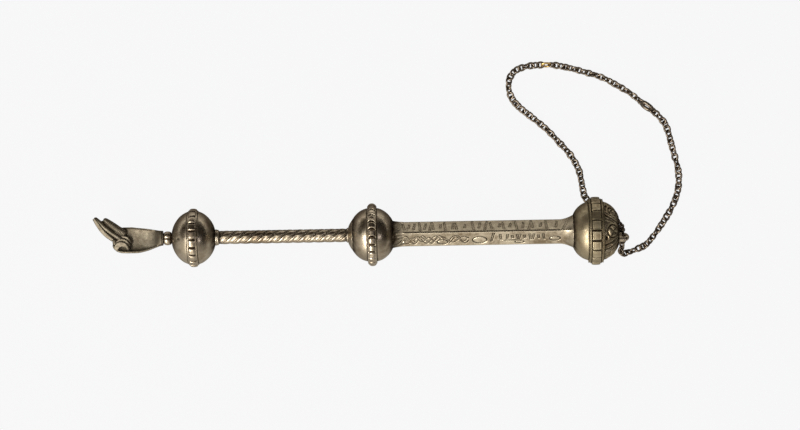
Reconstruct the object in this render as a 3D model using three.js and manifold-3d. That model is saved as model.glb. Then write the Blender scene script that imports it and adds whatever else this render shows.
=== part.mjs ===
// Silver reading pointer with a small pointing hand, three banded knops, a twisted stem,
// an engraved square shaft and a fine chain. Millimetres, +Z up, +X along the pointer
// from the hand to the chain. It lies on the flats of its three bands, on z = 0.
import * as THREE from 'three';
import { mergeVertices } from 'three/addons/utils/BufferGeometryUtils.js';
import Module from 'manifold-3d';

const wasm = await Module();
wasm.setup();

// Seams and flats
const SEAM = 0.05; // solder seam between neighbouring pieces
const FLAT_DEPTH = 0.3; // worn flat under the bands that the pointer lies on

// Hand knop
const HAND_KNOP_REACH = 10.0;
const HAND_KNOP_RADIUS = 12.1;
const HAND_KNOP_FULLNESS = 2.0;
const HAND_BAND_RADIUS = 13.1;
const HAND_BAND_WIDTH = 4.3;
const HAND_BAND_TILES = 18;
const HAND_BAND_GROOVE = 0.4;
const HAND_BAND_START_DEG = 3;

// Middle knop
const MIDDLE_KNOP_REACH = 10.4;
const MIDDLE_KNOP_RADIUS = 12.1;
const MIDDLE_KNOP_FULLNESS = 2.15;
const MIDDLE_BAND_RADIUS = 13.9;
const MIDDLE_BAND_WIDTH = 4.1;
const MIDDLE_BAND_FLUTES = 24;
const MIDDLE_BAND_SCOOP = 0.6;

// End knop
const END_KNOP_REACH = 11.2;
const END_KNOP_RADIUS = 13.4;
const END_KNOP_FULLNESS = 2.4;
const END_FACE_RADIUS = 6.4;
const END_BAND_RADIUS = 15.2;
const END_BAND_WIDTH = 4.0;
const END_BAND_RIM_WIDTH = 1.2;
const END_BAND_RIM_DROP = 1.0;
const END_BAND_TILES = 20;
const END_BAND_GROOVE = 0.4;
const END_BAND_START_DEG = -1;
const END_LEAVES = 8;
const END_LEAF_DEPTH = 0.7;

const BAND_SINK = 0.7; // how deep each band is let into its knop
const KNOP_SIDES = 24;

// Wrist bead, stem and its two collars
const WRIST_BEAD_LENGTH = 4.0;
const WRIST_BEAD_RADIUS = 3.4;
const WRIST_BEAD_LOBES = 6;
const WRIST_BEAD_FURROW = 0.45;
const COLLAR_LENGTH = 1.8;
const COLLAR_RADIUS = 3.6;
const STEM_LENGTH = 57.0;
const STEM_RADIUS = 3.05;
const STEM_FLAT_RADIUS = 2.25;
const STEM_EDGES = 4;
const STEM_LEAD = 18.8;
const STEM_STEPS_PER_TURN = 10;
const FERRULE_LENGTH = 2.5;
const FERRULE_RADIUS = 3.3;
const FERRULE_CUP_RADIUS = 6.9;
const FERRULE_CUP_LENGTH = 1.3;

// Square shaft
const SHAFT_LENGTH = 80.3;
const SHAFT_SIDE = 7.87;
const SHAFT_TURN_DEG = 5; // how far the top edge leans towards +Y
const SHAFT_FLARE_LENGTH = 6.0;
const SHAFT_FLARE_RADIUS = 7.3;
const SHAFT_FOOT_LENGTH = 4.2;
const SHAFT_FOOT_RADIUS = 6.1;
const STROKE_WIDTH = 0.45;
const STROKE_DEPTH = 0.25;

// Pointing hand
const HAND_LENGTH = 31.2;
const HAND_WALL = 1.1;
const HAND_WIDTH = 11.8;
const HAND_THICKNESS = 6.4;
const FINGER_RADIUS = 1.15;
const THUMB_RADIUS = 1.25;
const CURL_RADIUS = 0.95;
const CURL_LENGTH = 6.8;
const CURL_WIDTH = 4.6;
const CURL_LEAN_DEG = -8;

// Chain lug at the end
const LUG_WIRE = 1.7;
const LUG_SPAN = 4.3;
const LUG_STRAIGHT = 1.85;
const LUG_OFFSET = 3.0;
const LUG_LEAN_DEG = 15;

// Chain
const LINK_LENGTH = 4.0;
const LINK_WIDTH = 2.7;
const LINK_WIRE = 0.6;
const LINK_SIDES = 3;
const LINK_ROLL_DEG = 45;
const LINKS_PER_RUN = 10;
const LINK_LIFT = 0.28; // free height of the lying links over the floor
const TWIST_LINKS = 6; // over how many links the chain twists to meet an upright ring
const THREAD_SLACK = 0.4; // free play of a link on a ring, and between two runs
const CONTACT_SINK = 0.16; // how far fused links sink into each other
const LUG_RING_DIAMETER = 6.0;
const LUG_RING_WIRE = 0.8;
const BRASS_LINK_LENGTH = 4.6;
const BRASS_LINK_WIDTH = 3.2;
const BRASS_LINK_WIRE = 0.8;
const JOINING_RING_DIAMETER = 5.8;
const JOINING_RING_WIRE = 0.7;
const RING_STEPS = 10;
const RING_SIDES = 4;

const silver = new THREE.MeshStandardMaterial({ color: 0xb0a791, roughness: 0.38, metalness: 1 });
const goldenSilver = new THREE.MeshStandardMaterial({ color: 0xb8ab86, roughness: 0.36, metalness: 1 });
const darkSilver = new THREE.MeshStandardMaterial({ color: 0x5b5346, roughness: 0.45, metalness: 1 });
const brass = new THREE.MeshStandardMaterial({ color: 0xb58e4a, roughness: 0.4, metalness: 1 });

// Helpers that turn three.js geometry into closed solids and back

function solidOf(geometry) {
  const bare = geometry.clone();
  bare.deleteAttribute('normal');
  bare.deleteAttribute('uv');
  const merged = mergeVertices(bare, 1e-4);
  const index = merged.index.array;
  const kept = [];
  for (let i = 0; i < index.length; i += 3) {
    const [a, b, c] = [index[i], index[i + 1], index[i + 2]];
    if (a !== b && b !== c && c !== a) kept.push(a, b, c);
  }
  return new wasm.Manifold(new wasm.Mesh({
    numProp: 3,
    vertProperties: new Float32Array(merged.attributes.position.array),
    triVerts: new Uint32Array(kept),
  }));
}

function geometryOf(solid) {
  const mesh = solid.getMesh();
  const geometry = new THREE.BufferGeometry();
  geometry.setAttribute('position', new THREE.BufferAttribute(new Float32Array(mesh.vertProperties), 3));
  geometry.setIndex(Array.from(mesh.triVerts));
  geometry.computeVertexNormals();
  return geometry;
}

function joined(solids) {
  return solids.reduce((whole, next) => whole.add(next));
}

// A closed skin over rings of equally many points, each ring fanned shut at the two ends
function loft(rings) {
  const count = rings[0].length;
  const points = rings.flat();
  const faces = [];
  for (let ring = 0; ring < rings.length - 1; ring += 1) {
    for (let i = 0; i < count; i += 1) {
      const next = (i + 1) % count;
      const [a, b] = [ring * count + i, ring * count + next];
      const [c, d] = [a + count, b + count];
      faces.push(a, c, b, b, c, d);
    }
  }
  const centreOf = (ring) => ring
    .reduce((sum, point) => sum.add(point), new THREE.Vector3())
    .divideScalar(count);
  const first = points.push(centreOf(rings[0])) - 1;
  const last = points.push(centreOf(rings.at(-1))) - 1;
  const lastRing = (rings.length - 1) * count;
  for (let i = 0; i < count; i += 1) {
    const next = (i + 1) % count;
    faces.push(first, i, next, last, lastRing + next, lastRing + i);
  }
  const geometry = new THREE.BufferGeometry().setFromPoints(points);
  geometry.setIndex(faces);
  const solid = solidOf(geometry);
  if (solid.volume() > 0) return solid;
  geometry.index.array.reverse();
  return solidOf(geometry);
}

// A profile of [along, radius] points turned about the X axis, its radius changed by shape
function turned(profile, sides, shape = (along, radius) => radius, startAngle = 0) {
  const points = profile.map(([along, radius]) => new THREE.Vector2(radius, along));
  const geometry = new THREE.LatheGeometry(points, sides, startAngle);
  const position = geometry.attributes.position;
  for (let i = 0; i < position.count; i += 1) {
    const along = position.getY(i);
    const radius = Math.hypot(position.getX(i), position.getZ(i));
    const angle = Math.atan2(position.getX(i), position.getZ(i));
    const shaped = shape(along, radius, angle);
    // The angle runs from the top of the piece towards -Y
    position.setXYZ(i, along, -shaped * Math.sin(angle), shaped * Math.cos(angle));
  }
  const solid = solidOf(geometry);
  if (solid.volume() > 0) return solid;
  geometry.index.array.reverse();
  return solidOf(geometry);
}

// Corner distance of a section with few sides that holds as much metal as round wire
function sectionRadius(wire, sides) {
  return (wire / 2) * Math.sqrt((2 * Math.PI) / (sides * Math.sin((2 * Math.PI) / sides)));
}

// Wire of few sides bent along a closed outline in the XY plane. A flat side faces inwards,
// or a corner on wire of three sides with cornerInside.
function wireLoop(outline, wire, sides, cornerInside = false) {
  const radius = sectionRadius(wire, sides);
  const count = outline.length;
  const firstCorner = sides % 2 && !cornerInside ? 0 : 0.5;
  const points = [];
  const faces = [];
  const normalOf = (from, to) => {
    const edge = to.clone().sub(from).normalize();
    return new THREE.Vector2(edge.y, -edge.x);
  };
  outline.forEach((place, i) => {
    const before = normalOf(outline[(i + count - 1) % count], place);
    const after = normalOf(place, outline[(i + 1) % count]);
    const mitre = before.clone().add(after).divideScalar(1 + before.dot(after));
    for (let j = 0; j < sides; j += 1) {
      const around = ((j + firstCorner) / sides) * 2 * Math.PI;
      const offset = mitre.clone().multiplyScalar(radius * Math.cos(around));
      points.push(new THREE.Vector3(place.x + offset.x, place.y + offset.y, radius * Math.sin(around)));
      const nextStep = ((i + 1) % count) * sides;
      const nextSide = (j + 1) % sides;
      const [a, b] = [i * sides + j, i * sides + nextSide];
      const [c, d] = [nextStep + j, nextStep + nextSide];
      faces.push(a, c, b, b, c, d);
    }
  });
  const geometry = new THREE.BufferGeometry().setFromPoints(points);
  geometry.setIndex(faces);
  return geometry;
}

function ovalOutline(length, width, wire, steps) {
  return Array.from({ length: steps }, (_, i) => {
    const angle = ((i + 0.5) / steps) * 2 * Math.PI;
    return new THREE.Vector2(
      ((length - wire) / 2) * (Math.cos(angle) / Math.cos(Math.PI / steps)),
      ((width - wire) / 2) * Math.sin(angle));
  });
}

// A chain link of four straight sides
function linkOutline() {
  const [halfLength, halfWidth] = [(LINK_LENGTH - LINK_WIRE) / 2, (LINK_WIDTH - LINK_WIRE) / 2];
  return [
    [halfLength, -halfWidth], [halfLength, halfWidth], [-halfLength, halfWidth], [-halfLength, -halfWidth],
  ].map(([x, y]) => new THREE.Vector2(x, y));
}

// A tapering rod through a few places, its radius running from one end's to the other's
function taperedRod(places, radii, sides) {
  const curve = new THREE.CatmullRomCurve3(places.map((place) => new THREE.Vector3(...place)));
  const steps = radii.length - 1;
  const side = new THREE.Vector3();
  const over = new THREE.Vector3();
  const rings = radii.map((radius, i) => {
    const centre = curve.getPoint(i / steps);
    const along = curve.getTangent(i / steps);
    side.crossVectors(along, new THREE.Vector3(0, 0, 1)).normalize();
    over.crossVectors(side, along).normalize();
    return Array.from({ length: sides }, (_, j) => {
      const angle = ((j + 0.5) / sides) * 2 * Math.PI;
      return centre.clone()
        .addScaledVector(side, radius * Math.cos(angle))
        .addScaledVector(over, radius * Math.sin(angle));
    });
  });
  return loft(rings);
}

// Knops: where each one ends, and the places of all pieces along the pointer

function knopRadiusAt(knop, along) {
  return knop.radius * (1 - (Math.abs(along) / knop.reach) ** knop.fullness) ** (1 / knop.fullness);
}

function seatDistance(knop, seatRadius) {
  return knop.reach * (1 - (seatRadius / knop.radius) ** knop.fullness) ** (1 / knop.fullness);
}

const handKnop = {
  reach: HAND_KNOP_REACH,
  radius: HAND_KNOP_RADIUS,
  fullness: HAND_KNOP_FULLNESS,
  bandRadius: HAND_BAND_RADIUS,
  bandWidth: HAND_BAND_WIDTH,
};
const middleKnop = {
  reach: MIDDLE_KNOP_REACH,
  radius: MIDDLE_KNOP_RADIUS,
  fullness: MIDDLE_KNOP_FULLNESS,
  bandRadius: MIDDLE_BAND_RADIUS,
  bandWidth: MIDDLE_BAND_WIDTH,
};
const endKnop = {
  reach: END_KNOP_REACH,
  radius: END_KNOP_RADIUS,
  fullness: END_KNOP_FULLNESS,
  bandRadius: END_BAND_RADIUS,
  bandWidth: END_BAND_WIDTH + 2 * END_BAND_RIM_WIDTH,
};

handKnop.left = seatDistance(handKnop, WRIST_BEAD_RADIUS);
handKnop.right = seatDistance(handKnop, COLLAR_RADIUS);
middleKnop.left = seatDistance(middleKnop, FERRULE_CUP_RADIUS);
middleKnop.right = seatDistance(middleKnop, SHAFT_FOOT_RADIUS);
endKnop.left = seatDistance(endKnop, SHAFT_FLARE_RADIUS);
endKnop.right = seatDistance(endKnop, END_FACE_RADIUS);

middleKnop.at = 0;
const shaftStart = middleKnop.right + SEAM;
const shaftEnd = shaftStart + SHAFT_LENGTH;
endKnop.at = shaftEnd + SEAM + endKnop.left;
const endFaceAt = endKnop.at + endKnop.right;
const ferruleEnd = -middleKnop.left - SEAM;
const stemEnd = ferruleEnd - FERRULE_LENGTH - SEAM;
const stemStart = stemEnd - STEM_LENGTH;
const collarStart = stemStart - SEAM - COLLAR_LENGTH;
handKnop.at = collarStart - SEAM - handKnop.right;
const beadEnd = handKnop.at - handKnop.left - SEAM;
const beadStart = beadEnd - WRIST_BEAD_LENGTH;
const handStart = beadStart - SEAM;

// The pointer lies on two bands with equal flats, and the third band must not be cut deeper
function restPose() {
  const knops = [handKnop, middleKnop, endKnop];
  const poses = [[handKnop, endKnop], [handKnop, middleKnop], [middleKnop, endKnop]].map(([low, high]) => {
    const tilt = Math.atan2(high.bandRadius - low.bandRadius, high.at - low.at);
    const height = low.bandRadius * Math.cos(tilt) - low.at * Math.sin(tilt) - FLAT_DEPTH;
    const lowest = Math.min(...knops.map((knop) => (
      height + knop.at * Math.sin(tilt) - knop.bandRadius * Math.cos(tilt))));
    return { tilt, height, lowest };
  });
  return poses.reduce((best, pose) => (pose.lowest > best.lowest + 1e-6 ? pose : best));
}

const pose = restPose();
const pointer = new THREE.Group();
pointer.rotation.y = -pose.tilt;
pointer.position.z = pose.height;
pointer.updateMatrixWorld(true);

const part = new THREE.Group();
part.add(pointer);

function addPiece(parent, name, solid, material, x = 0) {
  const mesh = new THREE.Mesh(geometryOf(solid), material.clone());
  mesh.name = name;
  mesh.position.x = x;
  parent.add(mesh);
  return mesh;
}

// What of a piece at x along the pointer would lie under the floor is cut off flat
function cutFlat(solid, x) {
  const size = 4 * END_BAND_RADIUS;
  const below = new THREE.BoxGeometry(size, size, size);
  below.translate(x * Math.cos(pose.tilt), 0, -size / 2);
  const place = new THREE.Matrix4().makeTranslation(x, 0, 0);
  const toPiece = pointer.matrixWorld.clone().multiply(place).invert();
  below.applyMatrix4(toPiece);
  return solid.subtract(solidOf(below));
}

function knopBody(knop, shape) {
  const grooveHalf = knop.bandWidth / 2 + SEAM;
  const grooveRadius = knop.radius - BAND_SINK - SEAM;
  const stepsPerSide = 3;
  const sideProfile = (from, to) => Array.from({ length: stepsPerSide + 1 }, (_, i) => {
    const along = from + (to - from) * Math.sin((i / stepsPerSide) * Math.PI / 2);
    return [along, knopRadiusAt(knop, along)];
  });
  const left = sideProfile(-grooveHalf, -knop.left).reverse();
  const right = sideProfile(grooveHalf, knop.right);
  const profile = [
    [-knop.left, 0],
    ...left,
    [-grooveHalf, grooveRadius],
    [grooveHalf, grooveRadius],
    ...right,
    [knop.right, 0],
  ];
  return turned(profile, KNOP_SIDES, shape);
}

// Share of the way from one tile's or flute's edge to the next
function stepOf(angle, count, startAngle) {
  const turns = ((angle - startAngle) / (2 * Math.PI)) * count;
  return turns - Math.floor(turns);
}

// Bands: a section turned about the pointer, with its outer face tiled or fluted. startAngle is
// where the first tile or flute starts, from the top of the band towards -Y.
function tiledShape(outer, tiles, groove, startAngle) {
  return (along, radius, angle) => {
    const step = stepOf(angle, tiles, startAngle);
    const inGroove = step < 0.1 || step > 0.9;
    return inGroove && radius > outer - groove ? radius - groove : radius;
  };
}

function tiledBand(inner, outer, width, tiles, groove, startAngle) {
  const half = width / 2;
  const profile = [[-half, inner], [-half, outer], [half, outer], [half, inner], [-half, inner]];
  return turned(profile, tiles * 3, tiledShape(outer, tiles, groove, startAngle), startAngle);
}

function flutedBand(inner, outer, width, flutes, scoop) {
  const half = width / 2;
  const profile = [[-half, inner], [-half, outer], [0, outer], [half, outer], [half, inner], [-half, inner]];
  const shape = (along, radius, angle) => {
    const step = stepOf(angle, flutes, 0);
    const inScoop = step > 0.25 && step < 0.75;
    return inScoop && along === 0 ? radius - scoop : radius;
  };
  return turned(profile, flutes * 2, shape);
}

function rimmedBand(inner, outer, width, tiles, groove, startAngle) {
  const half = width / 2;
  const rimHalf = half + END_BAND_RIM_WIDTH;
  const rim = outer - END_BAND_RIM_DROP;
  const profile = [
    [-rimHalf, inner], [-rimHalf, rim], [-half, outer],
    [half, outer], [rimHalf, rim], [rimHalf, inner], [-rimHalf, inner],
  ];
  return turned(profile, tiles * 3, tiledShape(outer, tiles, groove, startAngle), startAngle);
}

// The end knop's outer cap is worked in raised leaves that run out from the end face
function leafed(along, radius, angle) {
  const capStart = endKnop.bandWidth / 2 + SEAM;
  if (along <= capStart || radius < END_FACE_RADIUS - 1e-3) return radius;
  const share = (along - capStart) / (endKnop.right - capStart);
  const fade = Math.sin(Math.PI * share) ** 0.7;
  const leaf = Math.abs(Math.sin((angle * END_LEAVES) / 2));
  return radius - END_LEAF_DEPTH * fade * (1 - leaf);
}

const handBand = tiledBand(
  HAND_KNOP_RADIUS - BAND_SINK, HAND_BAND_RADIUS, HAND_BAND_WIDTH, HAND_BAND_TILES,
  HAND_BAND_GROOVE, THREE.MathUtils.degToRad(HAND_BAND_START_DEG));
const middleBand = flutedBand(
  MIDDLE_KNOP_RADIUS - BAND_SINK, MIDDLE_BAND_RADIUS, MIDDLE_BAND_WIDTH, MIDDLE_BAND_FLUTES,
  MIDDLE_BAND_SCOOP);
const endBand = rimmedBand(
  END_KNOP_RADIUS - BAND_SINK, END_BAND_RADIUS, END_BAND_WIDTH, END_BAND_TILES,
  END_BAND_GROOVE, THREE.MathUtils.degToRad(END_BAND_START_DEG));

addPiece(pointer, 'hand_knop', knopBody(handKnop), silver, handKnop.at);
addPiece(pointer, 'hand_knop_band', cutFlat(handBand, handKnop.at), silver, handKnop.at);
addPiece(pointer, 'middle_knop', knopBody(middleKnop), silver, middleKnop.at);
addPiece(pointer, 'middle_knop_band', cutFlat(middleBand, middleKnop.at), silver, middleKnop.at);
addPiece(pointer, 'end_knop', knopBody(endKnop, leafed), goldenSilver, endKnop.at);
addPiece(pointer, 'end_knop_band', cutFlat(endBand, endKnop.at), goldenSilver, endKnop.at);

// Lobed bead between the hand and its knop
function wristBead() {
  const half = WRIST_BEAD_LENGTH / 2;
  const profile = [
    [-half, 0],
    [-half, WRIST_BEAD_RADIUS * 0.78],
    [-half * 0.5, WRIST_BEAD_RADIUS],
    [half * 0.5, WRIST_BEAD_RADIUS],
    [half, WRIST_BEAD_RADIUS * 0.86],
    [half, 0],
  ];
  return turned(profile, WRIST_BEAD_LOBES * 3, (along, radius, angle) => {
    const step = stepOf(angle, WRIST_BEAD_LOBES, Math.PI / 2);
    const inFurrow = step < 0.1 || step > 0.9;
    return inFurrow && radius > 0 ? radius - WRIST_BEAD_FURROW : radius;
  }, Math.PI / 2);
}

// Small ring where the stem leaves the hand knop
function stemCollar() {
  const half = COLLAR_LENGTH / 2;
  return turned([
    [-half, 0],
    [-half, COLLAR_RADIUS],
    [half * 0.3, COLLAR_RADIUS],
    [half, STEM_RADIUS],
    [half, 0],
  ], 16);
}

// Plain ring that opens into a shallow cup against the middle knop
function stemFerrule() {
  const half = FERRULE_LENGTH / 2;
  const cupStart = half - FERRULE_CUP_LENGTH;
  return turned([
    [-half, 0],
    [-half, FERRULE_RADIUS],
    [cupStart, FERRULE_RADIUS],
    [half - FERRULE_CUP_LENGTH * 0.4, FERRULE_RADIUS + (FERRULE_CUP_RADIUS - FERRULE_RADIUS) * 0.45],
    [half, FERRULE_CUP_RADIUS],
    [half, 0],
  ], 20);
}

// Square bar twisted on itself, its edges rising to the right on the side that faces up
function twistedStem() {
  const steps = Math.round((STEM_LENGTH / STEM_LEAD) * STEM_STEPS_PER_TURN);
  const count = STEM_EDGES * 2;
  const rings = Array.from({ length: steps + 1 }, (_, ring) => {
    const along = (ring / steps) * STEM_LENGTH;
    const twist = -(along / STEM_LEAD) * 2 * Math.PI;
    return Array.from({ length: count }, (__, j) => {
      const angle = twist + (j / count) * 2 * Math.PI;
      const radius = j % 2 ? STEM_FLAT_RADIUS : STEM_RADIUS;
      return new THREE.Vector3(along, radius * Math.cos(angle), radius * Math.sin(angle));
    });
  });
  return loft(rings);
}

addPiece(pointer, 'wrist_bead', wristBead(), silver, (beadStart + beadEnd) / 2);
addPiece(pointer, 'stem_collar', stemCollar(), silver, collarStart + COLLAR_LENGTH / 2);
addPiece(pointer, 'twisted_stem', twistedStem(), silver, stemStart);
addPiece(pointer, 'stem_ferrule', stemFerrule(), silver, ferruleEnd - FERRULE_LENGTH / 2);

// Square shaft: round at its two ends, square between them, one edge turned nearly upwards
const SHAFT_SIDES = 16;
const shaftTurn = THREE.MathUtils.degToRad(SHAFT_TURN_DEG);

function shaftRing(along, roundness, roundRadius) {
  const halfDiagonal = SHAFT_SIDE / Math.SQRT2;
  return Array.from({ length: SHAFT_SIDES }, (_, j) => {
    const angle = (j / SHAFT_SIDES) * 2 * Math.PI;
    const square = halfDiagonal / (Math.abs(Math.cos(angle)) + Math.abs(Math.sin(angle)));
    const radius = square + (roundRadius - square) * roundness;
    const turnedAngle = angle - shaftTurn;
    return new THREE.Vector3(along, radius * Math.cos(turnedAngle), radius * Math.sin(turnedAngle));
  });
}

function shaftBar() {
  const rings = [
    shaftRing(0, 1, SHAFT_FOOT_RADIUS),
    shaftRing(SHAFT_FOOT_LENGTH * 0.35, 0.75, SHAFT_FOOT_RADIUS),
    shaftRing(SHAFT_FOOT_LENGTH, 0, SHAFT_FOOT_RADIUS),
  ];
  const flareSteps = 4;
  for (let i = 0; i <= flareSteps; i += 1) {
    const share = i / flareSteps;
    rings.push(shaftRing(SHAFT_LENGTH - SHAFT_FLARE_LENGTH * (1 - share), share ** 1.8, SHAFT_FLARE_RADIUS));
  }
  return loft(rings);
}

// A shallow stroke on one face of the shaft: face 0 looks up and to +Y, face 1 up and to -Y
function stroke(face, along, across, length, slantDeg) {
  const box = new THREE.BoxGeometry(STROKE_WIDTH, length, 2 * STROKE_DEPTH);
  box.rotateZ(THREE.MathUtils.degToRad(slantDeg));
  box.translate(along, across, SHAFT_SIDE / 2);
  box.rotateX(THREE.MathUtils.degToRad(45 * (2 * face - 1)) - shaftTurn);
  return solidOf(box);
}

// Groups of leaning strokes stand where the inscription runs: start, width, height of a group
const UPPER_MARKS = [
  [4.8, 4.4, 3.6], [12.4, 4.6, 5.4], [18.4, 3.2, 3.6], [23.6, 3.4, 4.8], [28.6, 3.8, 3.8],
  [36.2, 5.4, 5.4], [44.4, 3.6, 3.4], [49.8, 3.0, 3.8], [55.4, 6.0, 5.4], [62.8, 3.6, 3.4],
  [68.8, 4.4, 4.8],
];
const LOWER_MARKS = [[45.0, 3.4, 5.0], [51.0, 4.6, 3.2], [58.0, 5.0, 3.2], [65.6, 4.2, 3.6]];
const MARK_PITCH = 2.9;
const MARK_SLANT_DEG = 14;
const LATTICE = { start: 8.0, length: 30.0, pitch: 5.0, slantDeg: 58, stroke: 4.6 };
const BACK_ROWS = { start: 16.0, pitch: 24.0, count: 3, height: 4.2 };

function markStrokes(face, marks, across) {
  return marks.flatMap(([start, width, height]) => {
    const strokes = Math.max(2, Math.round(width / MARK_PITCH));
    return Array.from({ length: strokes }, (_, i) => {
      const along = start + (width * i) / (strokes - 1);
      return stroke(face, along, across, height, i % 2 ? -MARK_SLANT_DEG : MARK_SLANT_DEG);
    });
  });
}

function latticeStrokes() {
  const count = Math.round(LATTICE.length / LATTICE.pitch);
  return Array.from({ length: count }, (_, i) => stroke(
    1,
    LATTICE.start + i * LATTICE.pitch,
    0.6,
    LATTICE.stroke,
    i % 2 ? LATTICE.slantDeg : -LATTICE.slantDeg));
}

function backStrokes() {
  return [2, 3].flatMap((face) => Array.from({ length: BACK_ROWS.count }, (_, i) => stroke(
    face, BACK_ROWS.start + i * BACK_ROWS.pitch, 0, BACK_ROWS.height, MARK_SLANT_DEG)));
}

const engraving = joined([
  ...markStrokes(0, UPPER_MARKS, 0.6),
  ...markStrokes(1, LOWER_MARKS, 0.4),
  ...latticeStrokes(),
  ...backStrokes(),
]);
addPiece(pointer, 'square_shaft', shaftBar().subtract(engraving), silver, shaftStart);

// Pointing hand: shares of the hand's own length, width and thickness, fingers to -X
const PALM_SECTIONS = [
  // along, lower edge, upper edge, back depth, palm hollow
  [0.0, -0.27, 0.29, 0.44, -0.42],
  [0.05, -0.29, 0.30, 0.44, -0.3],
  [0.12, -0.36, 0.33, 0.47, 0.0],
  [0.24, -0.47, 0.38, 0.52, 0.22],
  [0.36, -0.53, 0.42, 0.55, 0.28],
  [0.50, -0.535, 0.45, 0.55, 0.3],
  [0.62, -0.52, 0.42, 0.5, 0.26],
  [0.68, -0.45, 0.34, 0.42, 0.16],
  [0.71, -0.36, 0.22, 0.3, 0.1],
];

function palm() {
  const outerSteps = 6;
  const innerSteps = 4;
  const rim = HAND_WALL * 0.6;
  const rings = PALM_SECTIONS.map(([share, low, high, depth, hollow]) => {
    const along = -share * HAND_LENGTH;
    const [centre, half] = [((low + high) / 2) * HAND_WIDTH, ((high - low) / 2) * HAND_WIDTH];
    const back = depth * HAND_THICKNESS;
    const front = hollow * HAND_THICKNESS;
    const ring = [];
    for (let i = 0; i <= outerSteps; i += 1) {
      const angle = Math.PI * (1 + i / outerSteps);
      ring.push(new THREE.Vector3(along, centre + half * Math.cos(angle), back * Math.sin(angle)));
    }
    for (let i = 0; i <= innerSteps; i += 1) {
      const angle = Math.PI * (1 - i / innerSteps);
      ring.push(new THREE.Vector3(
        along, centre - (half - rim) * Math.cos(angle), -front * Math.sin(angle) + 0.05));
    }
    return ring;
  });
  return loft(rings);
}

// Three fingers curled into the palm, stacked towards the back: a ring and two solid curls
const CURLS_AT = [-0.595, -0.103, 0.07];
const CURL_STEP = [0.013, 0.042, -0.048];
const CURLED_FINGERS = 3;

function curledFingers() {
  return Array.from({ length: CURLED_FINGERS }, (_, finger) => {
    const outline = ovalOutline(CURL_LENGTH, CURL_WIDTH, 2 * CURL_RADIUS, 8);
    const half = CURL_LENGTH / 2;
    const curl = finger === 0
      ? wireLoop(outline, 2 * CURL_RADIUS, 4)
      : new THREE.CylinderGeometry(half, half, 2 * CURL_RADIUS, 8)
        .rotateX(Math.PI / 2)
        .scale(1, CURL_WIDTH / CURL_LENGTH, 1);
    curl.rotateZ(THREE.MathUtils.degToRad(CURL_LEAN_DEG));
    curl.translate(...CURLS_AT.map((share, i) => (share + CURL_STEP[i] * finger) * HAND_LENGTH));
    return solidOf(curl);
  });
}

// The pointing finger is two rods side by side, and the thumb lies against them
const LOWER_FINGER = [
  [-0.596, -0.051, 0.006], [-0.712, -0.013, 0.019], [-0.814, 0.074, 0.026], [-0.929, 0.205, 0.029],
  [-0.990, 0.301, 0.032],
];
const UPPER_FINGER = [
  [-0.529, -0.019, 0.006], [-0.635, 0.045, 0.029], [-0.785, 0.167, 0.042], [-0.987, 0.321, 0.035],
];
const THUMB = [
  [-0.513, 0.071, 0.0], [-0.615, 0.128, 0.016], [-0.731, 0.208, 0.026], [-0.878, 0.301, 0.022],
];

function handRod(places, radius, taper) {
  const sides = 6;
  return taperedRod(
    places.map((place) => place.map((share) => share * HAND_LENGTH)),
    taper.map((share) => share * radius),
    sides);
}

const hand = joined([
  palm(),
  ...curledFingers(),
  handRod(LOWER_FINGER, FINGER_RADIUS, [1, 1.1, 1.05, 0.95, 0.8, 0.6]),
  handRod(UPPER_FINGER, FINGER_RADIUS, [1.2, 1.2, 1.15, 1.05, 0.9, 0.7]),
  handRod(THUMB, THUMB_RADIUS, [1.1, 1.2, 1.1, 0.9, 0.6]),
]);
addPiece(pointer, 'pointing_hand', hand, silver, handStart);

// Chain lug: a rod bent into a loop, its two feet on the end face
const lugLean = THREE.MathUtils.degToRad(LUG_LEAN_DEG);
const lugUp = new THREE.Vector3(0, -Math.sin(lugLean), Math.cos(lugLean));
const lugBend = LUG_SPAN / 2;

function lugPlace(along, across) {
  return new THREE.Vector3(along, -LUG_OFFSET, 0).addScaledVector(lugUp, across);
}

function lugLoop() {
  const bendSteps = 6;
  const places = [lugPlace(SEAM, lugBend)];
  for (let i = 0; i <= bendSteps; i += 1) {
    const angle = Math.PI / 2 - (i / bendSteps) * Math.PI;
    places.push(lugPlace(LUG_STRAIGHT + lugBend * Math.cos(angle), lugBend * Math.sin(angle)));
  }
  places.push(lugPlace(SEAM, -lugBend));
  const side = new THREE.Vector3(0, Math.cos(lugLean), Math.sin(lugLean));
  const sides = 8;
  const rings = places.map((centre, i) => {
    const before = places[Math.max(i - 1, 0)];
    const after = places[Math.min(i + 1, places.length - 1)];
    const isFoot = i === 0 || i === places.length - 1;
    const along = isFoot
      ? new THREE.Vector3(i === 0 ? 1 : -1, 0, 0)
      : after.clone().sub(before).normalize();
    const outward = new THREE.Vector3().crossVectors(side, along);
    return Array.from({ length: sides }, (_, j) => {
      const angle = (j / sides) * 2 * Math.PI;
      return centre.clone()
        .addScaledVector(side, (LUG_WIRE / 2) * Math.cos(angle))
        .addScaledVector(outward, (LUG_WIRE / 2) * Math.sin(angle));
    });
  });
  return loft(rings);
}
addPiece(pointer, 'chain_lug', lugLoop(), silver, endFaceAt);

// Chain. Its places are measured from the floor right under the end knop's middle.
const chainOrigin = new THREE.Vector3(endKnop.at, 0, 0).applyMatrix4(pointer.matrixWorld).setZ(0);
const chainPlace = ([x, y, z]) => new THREE.Vector3(x, y, z).add(chainOrigin);
const linkHalfWidth = (LINK_WIDTH - LINK_WIRE) / 2 + sectionRadius(LINK_WIRE, LINK_SIDES);
const linkHeight = linkHalfWidth * Math.sin(THREE.MathUtils.degToRad(LINK_ROLL_DEG)) + LINK_LIFT;
const flatPlaces = (places) => places.map(([x, y]) => chainPlace([x, y, linkHeight]));

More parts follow.
